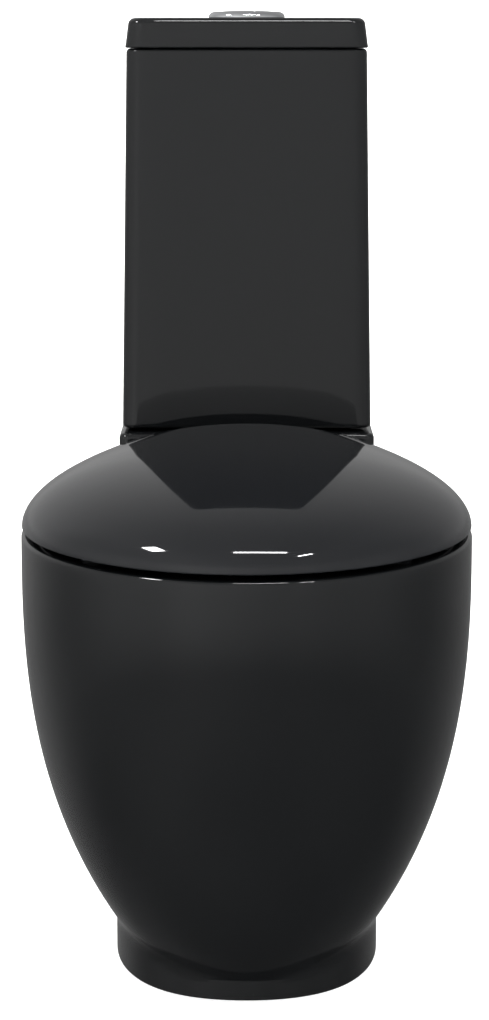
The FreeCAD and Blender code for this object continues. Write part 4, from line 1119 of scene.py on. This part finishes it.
def build_housing():
    """The chrome housing: a flared rim above the lid, and a threaded cup with the rods' holes."""
    top, low, crown, rim = LID_HIGH.z, HOUSING_LOW.z, HOUSING_HIGH.z, HOUSING_HIGH.x
    width, dome = rim - BUTTON_WELL - 1.0, crown - top - 0.8
    turns = [math.radians(9 * k) for k in range(11)]
    flare = [(rim - width * (1 - math.cos(a)), top + 0.8 + dome * math.sin(a)) for a in turns]
    profile = [(0, low), (THROAT - 0.8, low), (THROAT - 0.8, top), (rim - 0.3, top), (rim, top + 0.4)] + flare
    profile += [(BUTTON_WELL + 0.3, crown - 0.1), (BUTTON_WELL, crown - 0.6), (BUTTON_WELL, low + 3), (0, low + 3)]
    housing = lathe_object("push_button_rim", profile, (0, FLUSH.y, 0), segments=144)
    hole = tube_profile(0, ROD_RADIUS + PUSH_FIT, low - 2, low + 5)
    bored(housing, *[lathe_object("hole", hole, (x, FLUSH.y, 0), segments=32) for x in RODS.values()])
    joined(housing, thread_object("button_housing", THROAT, low + 1, top - 12, 2.0, (0, FLUSH.y, 0)))
    return dress(housing, "button_housing")


def build_half_button(settings, which, side):
    """One of the two buttons: its side of a low dome, with eased edges, on its push rod."""
    top, edge = LID_HIGH.z, settings.button_radius
    base, rise = top - 10, top + 5.3
    turns = [math.radians(78 - 6 * k) for k in range(13)]
    dome = [(edge * math.sin(a), rise + 1.2 * math.cos(a) ** 2) for a in turns]
    profile = [(0, base), (edge, base), (edge, top + 4.7), (edge - 0.15, top + 5.2)] + dome + [(0, rise + 1.2)]
    button = lathe_object(f"{which}_flush_cap", profile, (0, FLUSH.y, 0), segments=144)
    near, far = sorted((settings.button_split + side * settings.button_gap, 60 * side))
    keep = box_object("keep", (near, FLUSH.y - 40, base - 5), (far, FLUSH.y + 40, top + 20))
    cut_or_join(button, "INTERSECT", [keep])
    place = (RODS[which], FLUSH.y, 0)
    socket = tube_profile(0, ROD_RADIUS + PUSH_FIT, base - 2, base + 3)
    bored(button, lathe_object("hole", socket, place, segments=32))
    ease = button.modifiers.new("ease", "BEVEL")
    ease.width, ease.segments, ease.limit_method, ease.angle_limit = 0.35 * MM, 3, "ANGLE", math.radians(40)
    settle(button)
    soften(button.data)
    dress(button, f"{which}_flush_button")
    rod = turned("push_rod", tube_profile(0, ROD_RADIUS, 720, base + 3), place, segments=32)
    dress(rod, f"{which}_flush_rod")


def build_push_button(settings):
    """The housing with its nut, and the two buttons with their rods."""
    build_housing()
    low, high = span("button_nut")
    nut = lobed_object("push_button_nut", THROAT + 0.05, THROAT + 8.05, low.z, high.z, (0, FLUSH.y, 0), 6, 3.4)
    dress(nut, "button_nut")
    for which, side in (("full", -1), ("half", 1)):
        build_half_button(settings, which, side)


# ---------------------------------------------------------------- the seat

COVER_BASE = COVER_LOW.z
RISE_FALL, TAIL_HALF = 4.5, 148.0  # how far the crown falls to the tail, and half the tail's width
HEEL = (30.0, 384.0, COVER_HIGH.y + 5, HINGE.z)  # the cover's edge lifts from here to here, as y and z
KNUCKLE, BUSH_BORE, PIN = 10.0, 7.05, 4.0  # radii round the hinge's axis
COVER_KNUCKLE, SEAT_KNUCKLE = (91.0, 115.0), (40.0, 64.0)  # from the middle, on both sides


def cover_size(y):
    """The cover's half width and rise behind its widest line."""
    share = max((y - WIDEST) / (COVER_HIGH.y - WIDEST), 0.0)
    half = COVER_HIGH.x - (COVER_HIGH.x - TAIL_HALF) * share**2
    return half, COVER_HIGH.z - COVER_BASE - RISE_FALL * share**2


def cover_column(side, turn, y, skin, ease, end_ease, steps=36):
    """One line of the cover's shell from its crown over the edge to the crown of its inside."""
    half, rise = cover_size(y)
    low = max(COVER_BASE, HEEL[1] + (y - HEEL[0]) * (HEEL[3] - HEEL[1]) / (HEEL[2] - HEEL[0])) - COVER_BASE
    depth = WIDEST - COVER_LOW.y

    def at(inset, lift):
        x = (half - inset) * math.sin(turn) * math.cos(lift)
        back = y - (depth - inset) * math.cos(turn) * math.cos(lift)
        return Vector((side * x, back, COVER_BASE + (rise - inset) * math.sin(lift)))

    def sheet(inset):
        start = math.asin(min(low / (rise - inset), 0.9))
        speed = math.hypot((half - inset) * math.sin(start), (rise - inset) * math.cos(start))
        first = start + ease / speed
        return at(inset, start), [at(inset, first + (math.pi / 2 - first) * k / steps) for k in range(steps + 1)]

    corner_a, outside = sheet(end_ease)
    corner_b, inside = sheet(skin - end_ease)
    across = corner_b - corner_a
    near = corner_a + across * min(ease / across.length, 0.45)
    far = corner_b - across * min(ease / across.length, 0.45)
    ts = [k / 5 for k in range(1, 6)]
    over = [(1 - t) ** 2 * outside[0] + 2 * t * (1 - t) * corner_a + t * t * near for t in ts]
    under = [(1 - t) ** 2 * far + 2 * t * (1 - t) * corner_b + t * t * inside[0] for t in [0] + ts[:-1]]
    return outside[::-1] + over + under + inside


def cover_extras(skin):
    """The cover's hinge knuckles with the blocks that carry them, and two bosses for its buffers."""
    near, far = COVER_KNUCKLE
    rise = COVER_HIGH.z - COVER_BASE - RISE_FALL - skin / 2
    tops = [COVER_BASE + rise * math.sqrt(1 - (x / (TAIL_HALF - skin / 2)) ** 2) for x in (near, far)]
    extras = []
    for side in (-1, 1):
        outline = [(near * side, HINGE.z), (far * side, HINGE.z), (far * side, tops[1]), (near * side, tops[0])]
        knuckle = tube_profile(0, KNUCKLE, *sorted((near * side, far * side)))
        extras.append(prism_object("block", outline, "Y", HINGE.y - KNUCKLE, HINGE.y + KNUCKLE))
        extras.append(turned("knuckle", knuckle, (0, HINGE.y, HINGE.z), "X", 1.0, 64))
        boss = tube_profile(0, 7, COVER_BASE + 2.3, COVER_BASE + 15)
        extras.append(turned("boss", boss, (70 * side, COVER_LOW.y + 75, 0), segments=48))
    return extras


def build_cover(settings):
    """The cover: a domed shell, an ellipse in front and a falling arch behind, on two knuckles."""
    skin, ease = settings.cover_skin, settings.cover_edge
    tail = COVER_HIGH.y
    places = []
    for k in range(5):
        turn = math.radians(22.5 * k)
        places.append((math.pi / 2, tail - ease + ease * math.cos(turn), ease * (1 - math.sin(turn))))
    places += [(math.pi / 2, tail - ease - (tail - ease - WIDEST) * k / 40, 0.0) for k in range(1, 41)]
    front = [(math.radians(90 - 1.5 * k), WIDEST, 0.0) for k in range(1, 61)]
    columns = [cover_column(1, turn, y, skin, ease, e) for turn, y, e in places + front]
    columns += [[Vector((-p.x, p.y, p.z)) for p in column] for column in columns[-2::-1]]
    bm = bmesh.new()
    rows = [[bm.verts.new(p) for p in column] for column in columns]
    for a, b in zip(rows, rows[1:]):
        for k in range(len(a) - 1):
            bm.faces.new((a[k], a[k + 1], b[k + 1], b[k]))
    for column in (rows[0], rows[-1]):
        last = len(column) - 1
        for k in range(len(column) // 2 - 1):
            bm.faces.new((column[k], column[k + 1], column[last - k - 1], column[last - k]))
    cover = mesh_object("seat_cover_shell", bm)

    cut_or_join(cover, "UNION", cover_extras(skin))
    bored(cover, turned("bore", tube_profile(0, BUSH_BORE, -130, 130), (0, HINGE.y, HINGE.z), "X", 0.1, 64))
    return dress(cover, "seat_cover")


def seat_points(inset):
    """The right side of the seat's outside, set in from its widest."""
    half, near, far = SEAT_HIGH.x - inset, SEAT_LOW.y + inset, HINGE.y - 20 - inset
    return egg_points(half, near, WIDEST, far, TAIL_HALF - 20 - inset)


def opening_points(spread):
    """The right side of the seat's opening, spread from its narrowest."""
    half, near, far = SEAT_HIGH.x - 64 + spread, SEAT_LOW.y + 64 - spread, HINGE.y - 58 + spread
    middle, length = (near + far) / 2, (far - near) / 2
    turns = [math.pi * k / 240 for k in range(241)]
    return [Vector((half * math.sin(t), middle - length * math.cos(t))) for t in turns]


def build_seat(settings):
    """The seat: a ring with a rolled upper edge inside and out, and two arms back to its knuckles."""
    low, high, edge, centre = SEAT_LOW.z, SEAT_LOW.z + 15, settings.seat_edge, -100.0
    corner = math.atan2(TAIL_HALF - 20, centre - (HINGE.y - 20))
    angles = [corner * k / 150 for k in range(150)] + [corner + (math.pi - corner) * k / 40 for k in range(41)]
    ease = 2.5
    below = [math.radians(90 - 18 * k) for k in range(6)]
    above = [math.radians(9 * k) for k in range(11)]
    steps = [(low + ease * (1 - math.sin(a)), ease * (1 - math.cos(a))) for a in below]
    steps += [(high - edge - 0.3, 0.0)]
    steps += [(high - edge + edge * math.sin(a), edge * (1 - math.cos(a))) for a in above]
    outside = [full_circle(reach(seat_points(i), centre, angles), angles, centre, z) for z, i in steps]
    inside = [full_circle(reach(opening_points(i), centre, angles), angles, centre, z) for z, i in steps]
    seat = rings_object("seat_ring_moulding", outside + inside[::-1], closed=True)
    extras = []
    for side in (-1, 1):
        near, far = sorted((SEAT_KNUCKLE[0] * side, SEAT_KNUCKLE[1] * side))
        root = HINGE.y - 35
        outline = [(root, low), (HINGE.y, HINGE.z - KNUCKLE), (HINGE.y, HINGE.z + KNUCKLE), (root, high)]
        extras.append(prism_object("arm", outline, "X", near, far))
        extras.append(turned("knuckle", tube_profile(0, KNUCKLE, near, far), (0, HINGE.y, HINGE.z), "X", 0.05, 64))
    cut_or_join(seat, "UNION", extras)
    bored(seat, turned("bore", tube_profile(0, BUSH_BORE, -80, 80), (0, HINGE.y, HINGE.z), "X", 0.1, 64))
    return dress(seat, "seat_ring")


def build_hinges():
    """The pillars, pins, dampers and bushes, and everything on the seat's two bolts."""
    x, y, z = STUD.x, HINGE.y, HINGE.z
    foot, shaft = 17.0, 11.0
    turns = [math.radians(15 * k) for k in range(7)]
    profile = [(0, RIM + 1.5), (foot - 0.4, RIM + 1.5), (foot, RIM + 1.9), (foot, RIM + 4.2)]
    profile += [(shaft + (foot - shaft) * (1 - math.sin(a)), RIM + 4.5 + 4 * (1 - math.cos(a))) for a in turns]
    profile += [(shaft - 4 * (1 - math.cos(a)), z + 6 + 4 * math.sin(a)) for a in turns] + [(0, z + 10)]
    pillar = lathe_object("hinge_pillar", profile, (x, y, 0))
    cutters = [
        lathe_object("bore", tube_profile(0, PIN + 0.05, x - 30, x + 30), (0, y, z), "X", 32),
        lathe_object("bore", tube_profile(0, PIN + 0.05, RIM - 5, RIM + 13.5), (x, y, 0), segments=32),
    ]
    dress(mirrored(bored(pillar, *cutters)), "hinge_pillars")
    dress(mirrored(turned("hinge_pin", tube_profile(0, PIN, 38, 117), (0, y, z), "X", 0.5, 48)), "hinge_pins")
    gasket = turned("hinge_gasket", tube_profile(4.5, 17, RIM, RIM + 1.5), (x, y, 0))
    dress(mirrored(gasket), "hinge_gaskets")

    low, end = RIM - 41, RIM + 12.5
    stud = turned("hinge_stud", [(0, low), (3.5, low), (3.5, 366), (4, 366), (4, end), (0, end)], (x, y, 0))
    joined(stud, thread_object("hinge_studs", 4.0, low + 1, 366, 1.25, (x, y, 0)))
    dress(mirrored(stud), "hinge_studs")
    dress(mirrored(turned("hinge_washer", tube_profile(4.05, 14, 361, 364), (x, y, 0))), "hinge_washers")
    dress(mirrored(wing_nut_object("hinge_wing_nut", 4.05, 349, 361, (x, y, 0))), "hinge_wing_nuts")
    for node in ("seat_damper", "seat_bush", "cover_damper", "cover_bush"):
        ends = [round(corner.x) for corner in span(node)]
        dress(turned("sleeve", tube_profile(PIN + 0.05, 7, *ends), (0, y, z), "X", 0.4, 64), node)


def build_buffers():
    """The soft feet under the seat and under the cover."""
    low, high = span("seat_buffers")
    places = [(120, PAN_LOW.y + 120), (102, HINGE.y - 50)]
    foot = tube_profile(0, 9, low.z, high.z)
    feet = [turned("foot", foot, (x * side, y, 0), edge=1.6, segments=64) for side in (-1, 1) for x, y in places]
    dress(joined(*feet), "seat_buffers")
    low, high = span("cover_buffers")
    dot = tube_profile(0, 7, low.z, high.z)
    dots = [turned("dot", dot, (70 * side, PAN_LOW.y + 75, 0), edge=1.2, segments=64) for side in (-1, 1)]
    dress(joined(*dots), "cover_buffers")


# ---------------------------------------------------------------- the valves and fixings


def side_cutters(name, outline, axis, offsets):
    """Straight cutters through a round piece on the flush valve's axis, along X or Y."""
    middle = FLUSH.y if axis == "X" else FLUSH.x
    along = FLUSH.x if axis == "X" else FLUSH.y
    return [
        prism_object(name, [(middle + off + p.x, p.y) for p in outline], axis, along - 60, along + 60)
        for off in offsets
    ]


def build_flush_valve():
    """The outlet with its cage and nut, the guide tower, the overflow with its seal and float, and the keys."""
    place, y = (0, FLUSH.y, 0), FLUSH.y
    low, high = span("flush_valve_base")
    floor, shelf, seat = 448.0, 452.0, 458.0
    profile = [(26, low.z), (29, low.z), (29, 445), (30, 445), (30, floor), (40, floor), (40, shelf), (35, shelf)]
    profile += [(35, high.z), (29, high.z), (29, seat + 1), (28, seat + 1), (27.5, seat), (26, seat)]
    outlet = turned("flush_valve_outlet", profile, place, edge=0.6)
    window = rounded_outline(16, seat + 5, high.z - 7, 4, 0)
    bored(outlet, *side_cutters("window", window, "X", [0]), *side_cutters("window", window, "Y", [0]))
    joined(outlet, thread_object("flush_valve_base", 30.0, 411, 444, 3.0, place))
    dress(outlet, "flush_valve_base")
    dress(turned("flush_valve_gasket", tube_profile(30.05, 40, 445, floor), place), "flush_valve_washer")
    dress(lobed_object("flush_valve_back_nut", 30.05, 38, 419, 433, place, 12, 2.6), "flush_valve_nut")
    dress(turned("coupling_doughnut", tube_profile(38.5, 46.5, 408, 433), place, edge=2.5), "coupling_seal")

    low, high = span("flush_valve_tower")
    crown = high.z - 3
    profile = [(29, low.z), (32, low.z), (32, high.z), (14, high.z), (14, crown), (29, crown)]
    tower = turned("flush_valve_guide", profile, place, edge=0.6)
    slot = rounded_outline(6, low.z + 20, high.z - 40, 5, 0)
    bored(tower, *side_cutters("slot", slot, "Y", [-11.2, 11.2]))
    dress(tower, "flush_valve_tower")

    low, high = span("overflow_pipe")
    foot = [(11.5, low.z), (13, low.z), (13, low.z + 3), (21, low.z + 3), (21, low.z + 6), (13, low.z + 6)]
    pipe = turned("overflow_tube", foot + [(13, high.z), (11.5, high.z)], place, edge=0.4)
    dress(pipe, "overflow_pipe")
    for node, edge in (("flush_seal", 0.8), ("flush_float", 2.5)):
        low, high = span(node)
        dress(turned("round", tube_profile(13.05, high.x, low.z, high.z), place, edge=edge), node)
    for which, x in RODS.items():
        low, high = span(f"{which}_flush_key")
        key = turned("key", tube_profile(0, 5, low.z, high.z), (x, y, 0), edge=0.8, segments=48)
        dress(key, f"{which}_flush_key")


def build_fill_valve():
    """The hollow stem with its threaded shank, its gasket and nut, and the lever's axle."""
    place = (FILL.x, FILL.y, 0)
    low, high = span("fill_valve_body")
    shank = [(5, low.z), (9.6, low.z), (9.6, 444), (10.4, 445), (10.4, 448), (16, 448), (16, 452), (10, 452)]
    collar = [(10, 551.7), (14, 551.7), (14, 554.7), (10, 554.7)]
    stem = turned("fill_valve_stem", shank + collar + [(10, high.z), (5, high.z)], place, edge=0.4, segments=64)
    joined(stem, thread_object("fill_valve_body", 10.4, low.z + 1, 443, 1.81, place))
    dress(stem, "fill_valve_body")
    dress(turned("fill_valve_gasket", tube_profile(10.45, 17.4, 445, 448), place), "fill_valve_washer")
    dress(lobed_object("fill_valve_back_nut", 10.45, 17.4, 421, 433, place, 6, 2.6), "fill_valve_nut")
    pin = centre_of("fill_lever_pin")
    axle = tube_profile(0, 2, *[corner.x - pin.x for corner in span("fill_lever_pin")])
    dress(turned("fill_lever_axle", axle, pin, "X", 0.3, 32), "fill_lever_pin")


def build_coupling():
    """The two bolts that hold the cistern on the pan, with their washers and wing nuts."""
    x, y = BOLT.x, BOLT.y
    place = (x, y, 0)
    low, high = span("coupling_bolts")
    under = high.z - 5
    profile = [(0, low.z), (3.5, low.z), (3.5, 425), (4, 425), (4, under + 0.1), (0, under + 0.1)]
    bolt = turned("coupling_bolt", profile, place, segments=48)
    turns = [math.radians(60 * k) for k in range(6)]
    head = prism_object("head", [(x + 8 * math.cos(a), y + 8 * math.sin(a)) for a in turns], "Z", under, high.z)
    cone = [(0, under - 0.5), (7.2, under - 0.5), (8.2, under + 0.5)]
    cone += [(8.2, high.z - 1.1), (7, high.z), (0, high.z)]
    cut_or_join(head, "INTERSECT", [lathe_object("cone", cone, place, segments=64)])
    joined(bolt, head, thread_object("coupling_bolts", 4.0, low.z + 1, 424, 1.25, place))
    dress(mirrored(bolt), "coupling_bolts")
    rings = (
        ("cistern_rubber_washers", 4.05, 12), ("cistern_steel_washers", 4.05, 11), ("coupling_pads", 6, 14),
        ("shelf_rubber_washers", 4.05, 12), ("shelf_steel_washers", 4.05, 11),
    )
    for node, inner, outer in rings:
        low, high = span(node)
        dress(mirrored(turned("ring", tube_profile(inner, outer, low.z, high.z), place, segments=64)), node)
    dress(mirrored(wing_nut_object("coupling_wing_nut", 4.05, 397.5, 409.5, place)), "coupling_wing_nuts")


def build_floor_fixings():
    """The side screws with their caps; the brackets keep the frame's own shape."""
    place, face = (0, SCREW.y, SCREW.z), FOOT_HALF
    point = [(0, 86), (1.2, 86.4), (2.5, 89), (2.5, face)]
    head = [(5.5, face), (4.4, face + 2.2), (0, face + 2.5)]
    screw = lathe_object("side_screw", point + head, place, "X", 48)
    joined(screw, thread_object("side_screws", 3.0, 88, face - 1, 1.6, place, "X"))
    dress(mirrored(screw), "side_screws")
    inner = [(0, face + 3), (4.4, face + 2.9), (6, face + 2.4)]
    outer = [(6, face), (8, face), (7.9, face + 1), (7.7, face + 2), (7.1, face + 3), (6, face + 3.8)]
    outer += [(4.5, face + 4.3), (2.5, face + 4.55), (0, face + 4.6)]
    dress(mirrored(lathe_object("screw_cap", inner + outer, place, "X", 64)), "screw_caps")


# ---------------------------------------------------------------- the stage


def area_light(name, place, target, size, size_y, power):
    """A rectangular lamp that points at a place; all in metres and watts."""
    data = bpy.data.lights.new(name, "AREA")
    data.shape = "RECTANGLE"
    data.size, data.size_y = size, size_y
    data.energy = power
    light = bpy.data.objects.new(name, data)
    bpy.context.scene.collection.objects.link(light)
    light.location = place
    light.rotation_euler = (Vector(target) - light.location).to_track_quat("-Z", "Y").to_euler()


# Brightness of the studio in front and behind, by height of view from straight down (-1) to straight up (1).
FRONT_LEVELS = ((-1.0, 0.1), (-0.4, 0.18), (-0.14, 0.5), (0.25, 0.56), (0.7, 0.36), (1.0, 0.3))
REAR_LEVELS = ((-1.0, 0.03), (-0.65, 0.05), (-0.25, 0.14), (-0.04, 0.24), (0.06, 0.33), (1.0, 0.25))


def level_ramp(tree, source, stops):
    """A ramp of grey levels by height of view."""
    share = add_node(
        tree, "ShaderNodeMapRange", inputs={"From Min": -1.0, "From Max": 1.0}, links={"Value": source}
    )
    ramp = add_node(tree, "ShaderNodeValToRGB", links={"Fac": (share, "Result")})
    ramp.color_ramp.interpolation = "EASE"
    elements = ramp.color_ramp.elements
    while len(elements) < len(stops):
        elements.new(0.5)
    for element, (height, level) in zip(elements, stops):
        element.position = (height + 1) / 2
        element.color = (level, level, level, 1.0)
    return ramp


def build_world():
    """The studio as it shows in the gloss: a pale floor that fades towards the foot, and dimmer walls."""
    world = bpy.data.worlds.new("studio")
    bpy.context.scene.world = world
    world.use_nodes = True
    tree = world.node_tree
    tree.nodes.clear()
    place = add_node(tree, "ShaderNodeTexCoord")
    axes = add_node(tree, "ShaderNodeSeparateXYZ", links={"Vector": (place, "Generated")})
    front = level_ramp(tree, (axes, "Z"), FRONT_LEVELS)
    rear = level_ramp(tree, (axes, "Z"), REAR_LEVELS)
    behind = add_node(
        tree, "ShaderNodeMapRange", {"interpolation_type": "SMOOTHSTEP"}, {"From Min": -0.35, "From Max": 0.5},
        {"Value": (axes, "Y")},
    )
    level = add_node(
        tree, "ShaderNodeMix", {"data_type": "RGBA"},
        links={"Factor": (behind, "Result"), 6: (front, "Color"), 7: (rear, "Color")},
    )
    left = add_node(
        tree, "ShaderNodeMapRange", inputs={"From Min": -0.6, "From Max": 0.3, "To Min": 1.55, "To Max": 1.0},
        links={"Value": (axes, "X")},
    )
    aside = add_node(tree, "ShaderNodeMath", {"operation": "ABSOLUTE"}, links={0: (axes, "X")})
    sides = add_node(
        tree, "ShaderNodeMapRange", {"interpolation_type": "SMOOTHSTEP"},
        {"From Min": 0.5, "From Max": 0.95, "To Min": 1.0, "To Max": 0.75}, {"Value": (aside, 0)},
    )
    strength = add_node(
        tree, "ShaderNodeMath", {"operation": "MULTIPLY"}, links={0: (left, "Result"), 1: (sides, "Result")}
    )
    sky = add_node(tree, "ShaderNodeBackground", links={"Color": (level, 2), "Strength": (strength, 0)})
    output = add_node(tree, "ShaderNodeOutputWorld")
    tree.links.new(sky.outputs["Background"], output.inputs["Surface"])


def sweep_paint(colour):
    """Matt studio paint: a pale even floor with a faint roller texture, and a glow that keeps it shadowless."""
    material, tree, output, place = new_material("studio_wall_paint_matt")
    fleck = add_node(
        tree, "ShaderNodeTexNoise", inputs={"Scale": per_metre(40.0), "Detail": 2.0},
        links={"Vector": (place, "Object")},
    )
    rough = add_node(
        tree, "ShaderNodeMapRange", inputs={"To Min": 0.85, "To Max": 0.95}, links={"Value": (fleck, "Fac")}
    )
    shader = add_node(
        tree, "ShaderNodeBsdfPrincipled",
        inputs={
            "Base Color": (*colour, 1.0), "Specular IOR Level": 0.1,
            "Emission Color": (*colour, 1.0), "Emission Strength": 0.55,
        },
        links={"Roughness": (rough, "Result")},
    )
    tree.links.new(shader.outputs["BSDF"], output.inputs["Surface"])
    return material


def build_backdrop(settings):
    """A round pale studio: the floor, which bends up into a wall far away on every side."""
    radius, bend, height = 8000.0, 1500.0, 5000.0
    turns = [math.radians(7.5 * k) for k in range(13)]
    cove = [(radius - bend + bend * math.sin(a), bend - bend * math.cos(a)) for a in turns]
    bm = bmesh.new()
    middle = bm.verts.new((0, 0, 0))
    around = [2 * math.pi * k / 96 for k in range(96)]
    rings = [
        [Vector((out * math.cos(t), out * math.sin(t), z)) for t in around]
        for out, z in [(1500, 0)] + cove + [(radius, height)]
    ]
    rows = add_rings(bm, rings, capped=False)
    for a, b in zip(rows[0], rows[0][1:] + rows[0][:1]):
        bm.faces.new((middle, a, b))
    sweep = mesh_object("studio_sweep", bm)
    sweep.data.materials.append(sweep_paint(settings.backdrop))
    sweep.visible_glossy = False


def build_camera(settings):
    """The camera in front of the pan, looking slightly down."""
    data = bpy.data.cameras.new("camera")
    data.sensor_width = 36
    data.lens = settings.lens
    data.shift_x = settings.shift
    data.clip_start, data.clip_end = 0.05, 100
    camera = bpy.data.objects.new("camera", data)
    camera.location = (0, -settings.distance, settings.height)
    camera.rotation_euler = (math.radians(90) - settings.pitch, 0, 0)
    bpy.context.scene.collection.objects.link(camera)
    bpy.context.scene.camera = camera


def build_lights():
    """Three small lamps for the crisp highlights, and a broad sun for the floor that leaves no highlight."""
    area_light("strip", (0.22, -0.65, 2.6), (0.22, -0.2, 0.4), 0.85, 0.1, 14)
    area_light("left", (-1.5, -0.2, 2.5), (0, -0.2, 0.4), 0.4, 0.3, 18)
    area_light("right", (1.1, -0.9, 2.6), (0, -0.2, 0.4), 0.35, 0.06, 6)
    data = bpy.data.lights.new("daylight", "SUN")
    data.energy, data.angle = 2.8, math.radians(70)
    sun = bpy.data.objects.new("daylight", data)
    sun.rotation_euler = (math.radians(25), math.radians(8), 0)
    sun.visible_glossy = False
    bpy.context.scene.collection.objects.link(sun)


# ---------------------------------------------------------------- operators


class TOILET_OT_finishes(bpy.types.Operator):
    """Gives every CAD node its material"""

    bl_idname = "toilet.finishes"
    bl_label = "Finishes"

    def execute(self, context):
        dress_frame()
        return {"FINISHED"}


class TOILET_OT_pan(bpy.types.Operator):
    """Builds the pan with its bowl, trapway and flush passage"""

    bl_idname = "toilet.pan"
    bl_label = "Pan"

    def execute(self, context):
        build_pan(context.scene.toilet_pan)
        return {"FINISHED"}


class TOILET_OT_cistern(bpy.types.Operator):
    """Builds the cistern's tank and lid"""

    bl_idname = "toilet.cistern"
    bl_label = "Cistern"

    def execute(self, context):
        build_tank(context.scene.toilet_cistern)
        build_lid(context.scene.toilet_cistern)
        return {"FINISHED"}


class TOILET_OT_push_button(bpy.types.Operator):
    """Builds the two-part push button with its housing, nut and rods"""

    bl_idname = "toilet.push_button"
    bl_label = "Push Button"

    def execute(self, context):
        build_push_button(context.scene.toilet_fittings)
        return {"FINISHED"}


class TOILET_OT_seat(bpy.types.Operator):
    """Builds the seat and its cover"""

    bl_idname = "toilet.seat"
    bl_label = "Seat and Cover"

    def execute(self, context):
        build_cover(context.scene.toilet_seat)
        build_seat(context.scene.toilet_seat)
        return {"FINISHED"}


class TOILET_OT_hinges(bpy.types.Operator):
    """Builds the hinges with their bolts, and the soft feet of the seat and cover"""

    bl_idname = "toilet.hinges"
    bl_label = "Hinges and Buffers"

    def execute(self, context):
        build_hinges()
        build_buffers()
        return {"FINISHED"}


class TOILET_OT_flush_valve(bpy.types.Operator):
    """Builds the flush valve from its outlet to its keys"""

    bl_idname = "toilet.flush_valve"
    bl_label = "Flush Valve"

    def execute(self, context):
        build_flush_valve()
        return {"FINISHED"}


class TOILET_OT_fill_valve(bpy.types.Operator):
    """Builds the fill valve's stem, gasket, nut and axle"""

    bl_idname = "toilet.fill_valve"
    bl_label = "Fill Valve"

    def execute(self, context):
        build_fill_valve()
        return {"FINISHED"}


class TOILET_OT_fixings(bpy.types.Operator):
    """Builds the bolts between cistern and pan, and the floor screws with their caps"""

    bl_idname = "toilet.fixings"
    bl_label = "Fixings"

    def execute(self, context):
        build_coupling()
        build_floor_fixings()
        return {"FINISHED"}


class TOILET_OT_studio(bpy.types.Operator):
    """Builds the studio: its floor, surroundings, lamps and camera"""

    bl_idname = "toilet.studio"
    bl_label = "Studio"

    def execute(self, context):
        context.scene.view_settings.view_transform = "Standard"
        build_world()
        build_backdrop(context.scene.toilet_studio)
        build_camera(context.scene.toilet_studio)
        build_lights()
        return {"FINISHED"}


# The operators in the order in which main calls them.
STEPS = (
    TOILET_OT_finishes,
    TOILET_OT_pan,
    TOILET_OT_cistern,
    TOILET_OT_push_button,
    TOILET_OT_seat,
    TOILET_OT_hinges,
    TOILET_OT_flush_valve,
    TOILET_OT_fill_valve,
    TOILET_OT_fixings,
    TOILET_OT_studio,
)
# The scene's properties that hold each group of settings.
SETTINGS = {
    "toilet_pan": PanSettings,
    "toilet_cistern": CisternSettings,
    "toilet_seat": SeatSettings,
    "toilet_fittings": FittingSettings,
    "toilet_finishes": FinishSettings,
    "toilet_studio": StudioSettings,
}


class TOILET_PT_panel(bpy.types.Panel):
    """Lists the toilet's sizes, colours and building steps"""

    bl_label = "Close Coupled Toilet"
    bl_idname = "TOILET_PT_panel"
    bl_space_type = "VIEW_3D"
    bl_region_type = "UI"
    bl_category = "Toilet"

    def draw(self, context):
        for name, group in SETTINGS.items():
            box = self.layout.box()
            for setting in group.__annotations__:
                box.prop(getattr(context.scene, name), setting)
        for step in STEPS:
            self.layout.operator(step.bl_idname)


def register():
    """Adds the settings, operators and panel to Blender."""
    for name, group in SETTINGS.items():
        bpy.utils.register_class(group)
        setattr(bpy.types.Scene, name, PointerProperty(type=group))
    for made in (*STEPS, TOILET_PT_panel):
        bpy.utils.register_class(made)


def unregister():
    """Takes them out again."""
    for made in (TOILET_PT_panel, *reversed(STEPS)):
        bpy.utils.unregister_class(made)
    for name, group in SETTINGS.items():
        delattr(bpy.types.Scene, name)
        bpy.utils.unregister_class(group)


def main():
    """Builds everything in order."""
    register()
    for step in STEPS:
        area, name = step.bl_idname.split(".")
        getattr(getattr(bpy.ops, area), name)()


if __name__ == "__main__":
    main()
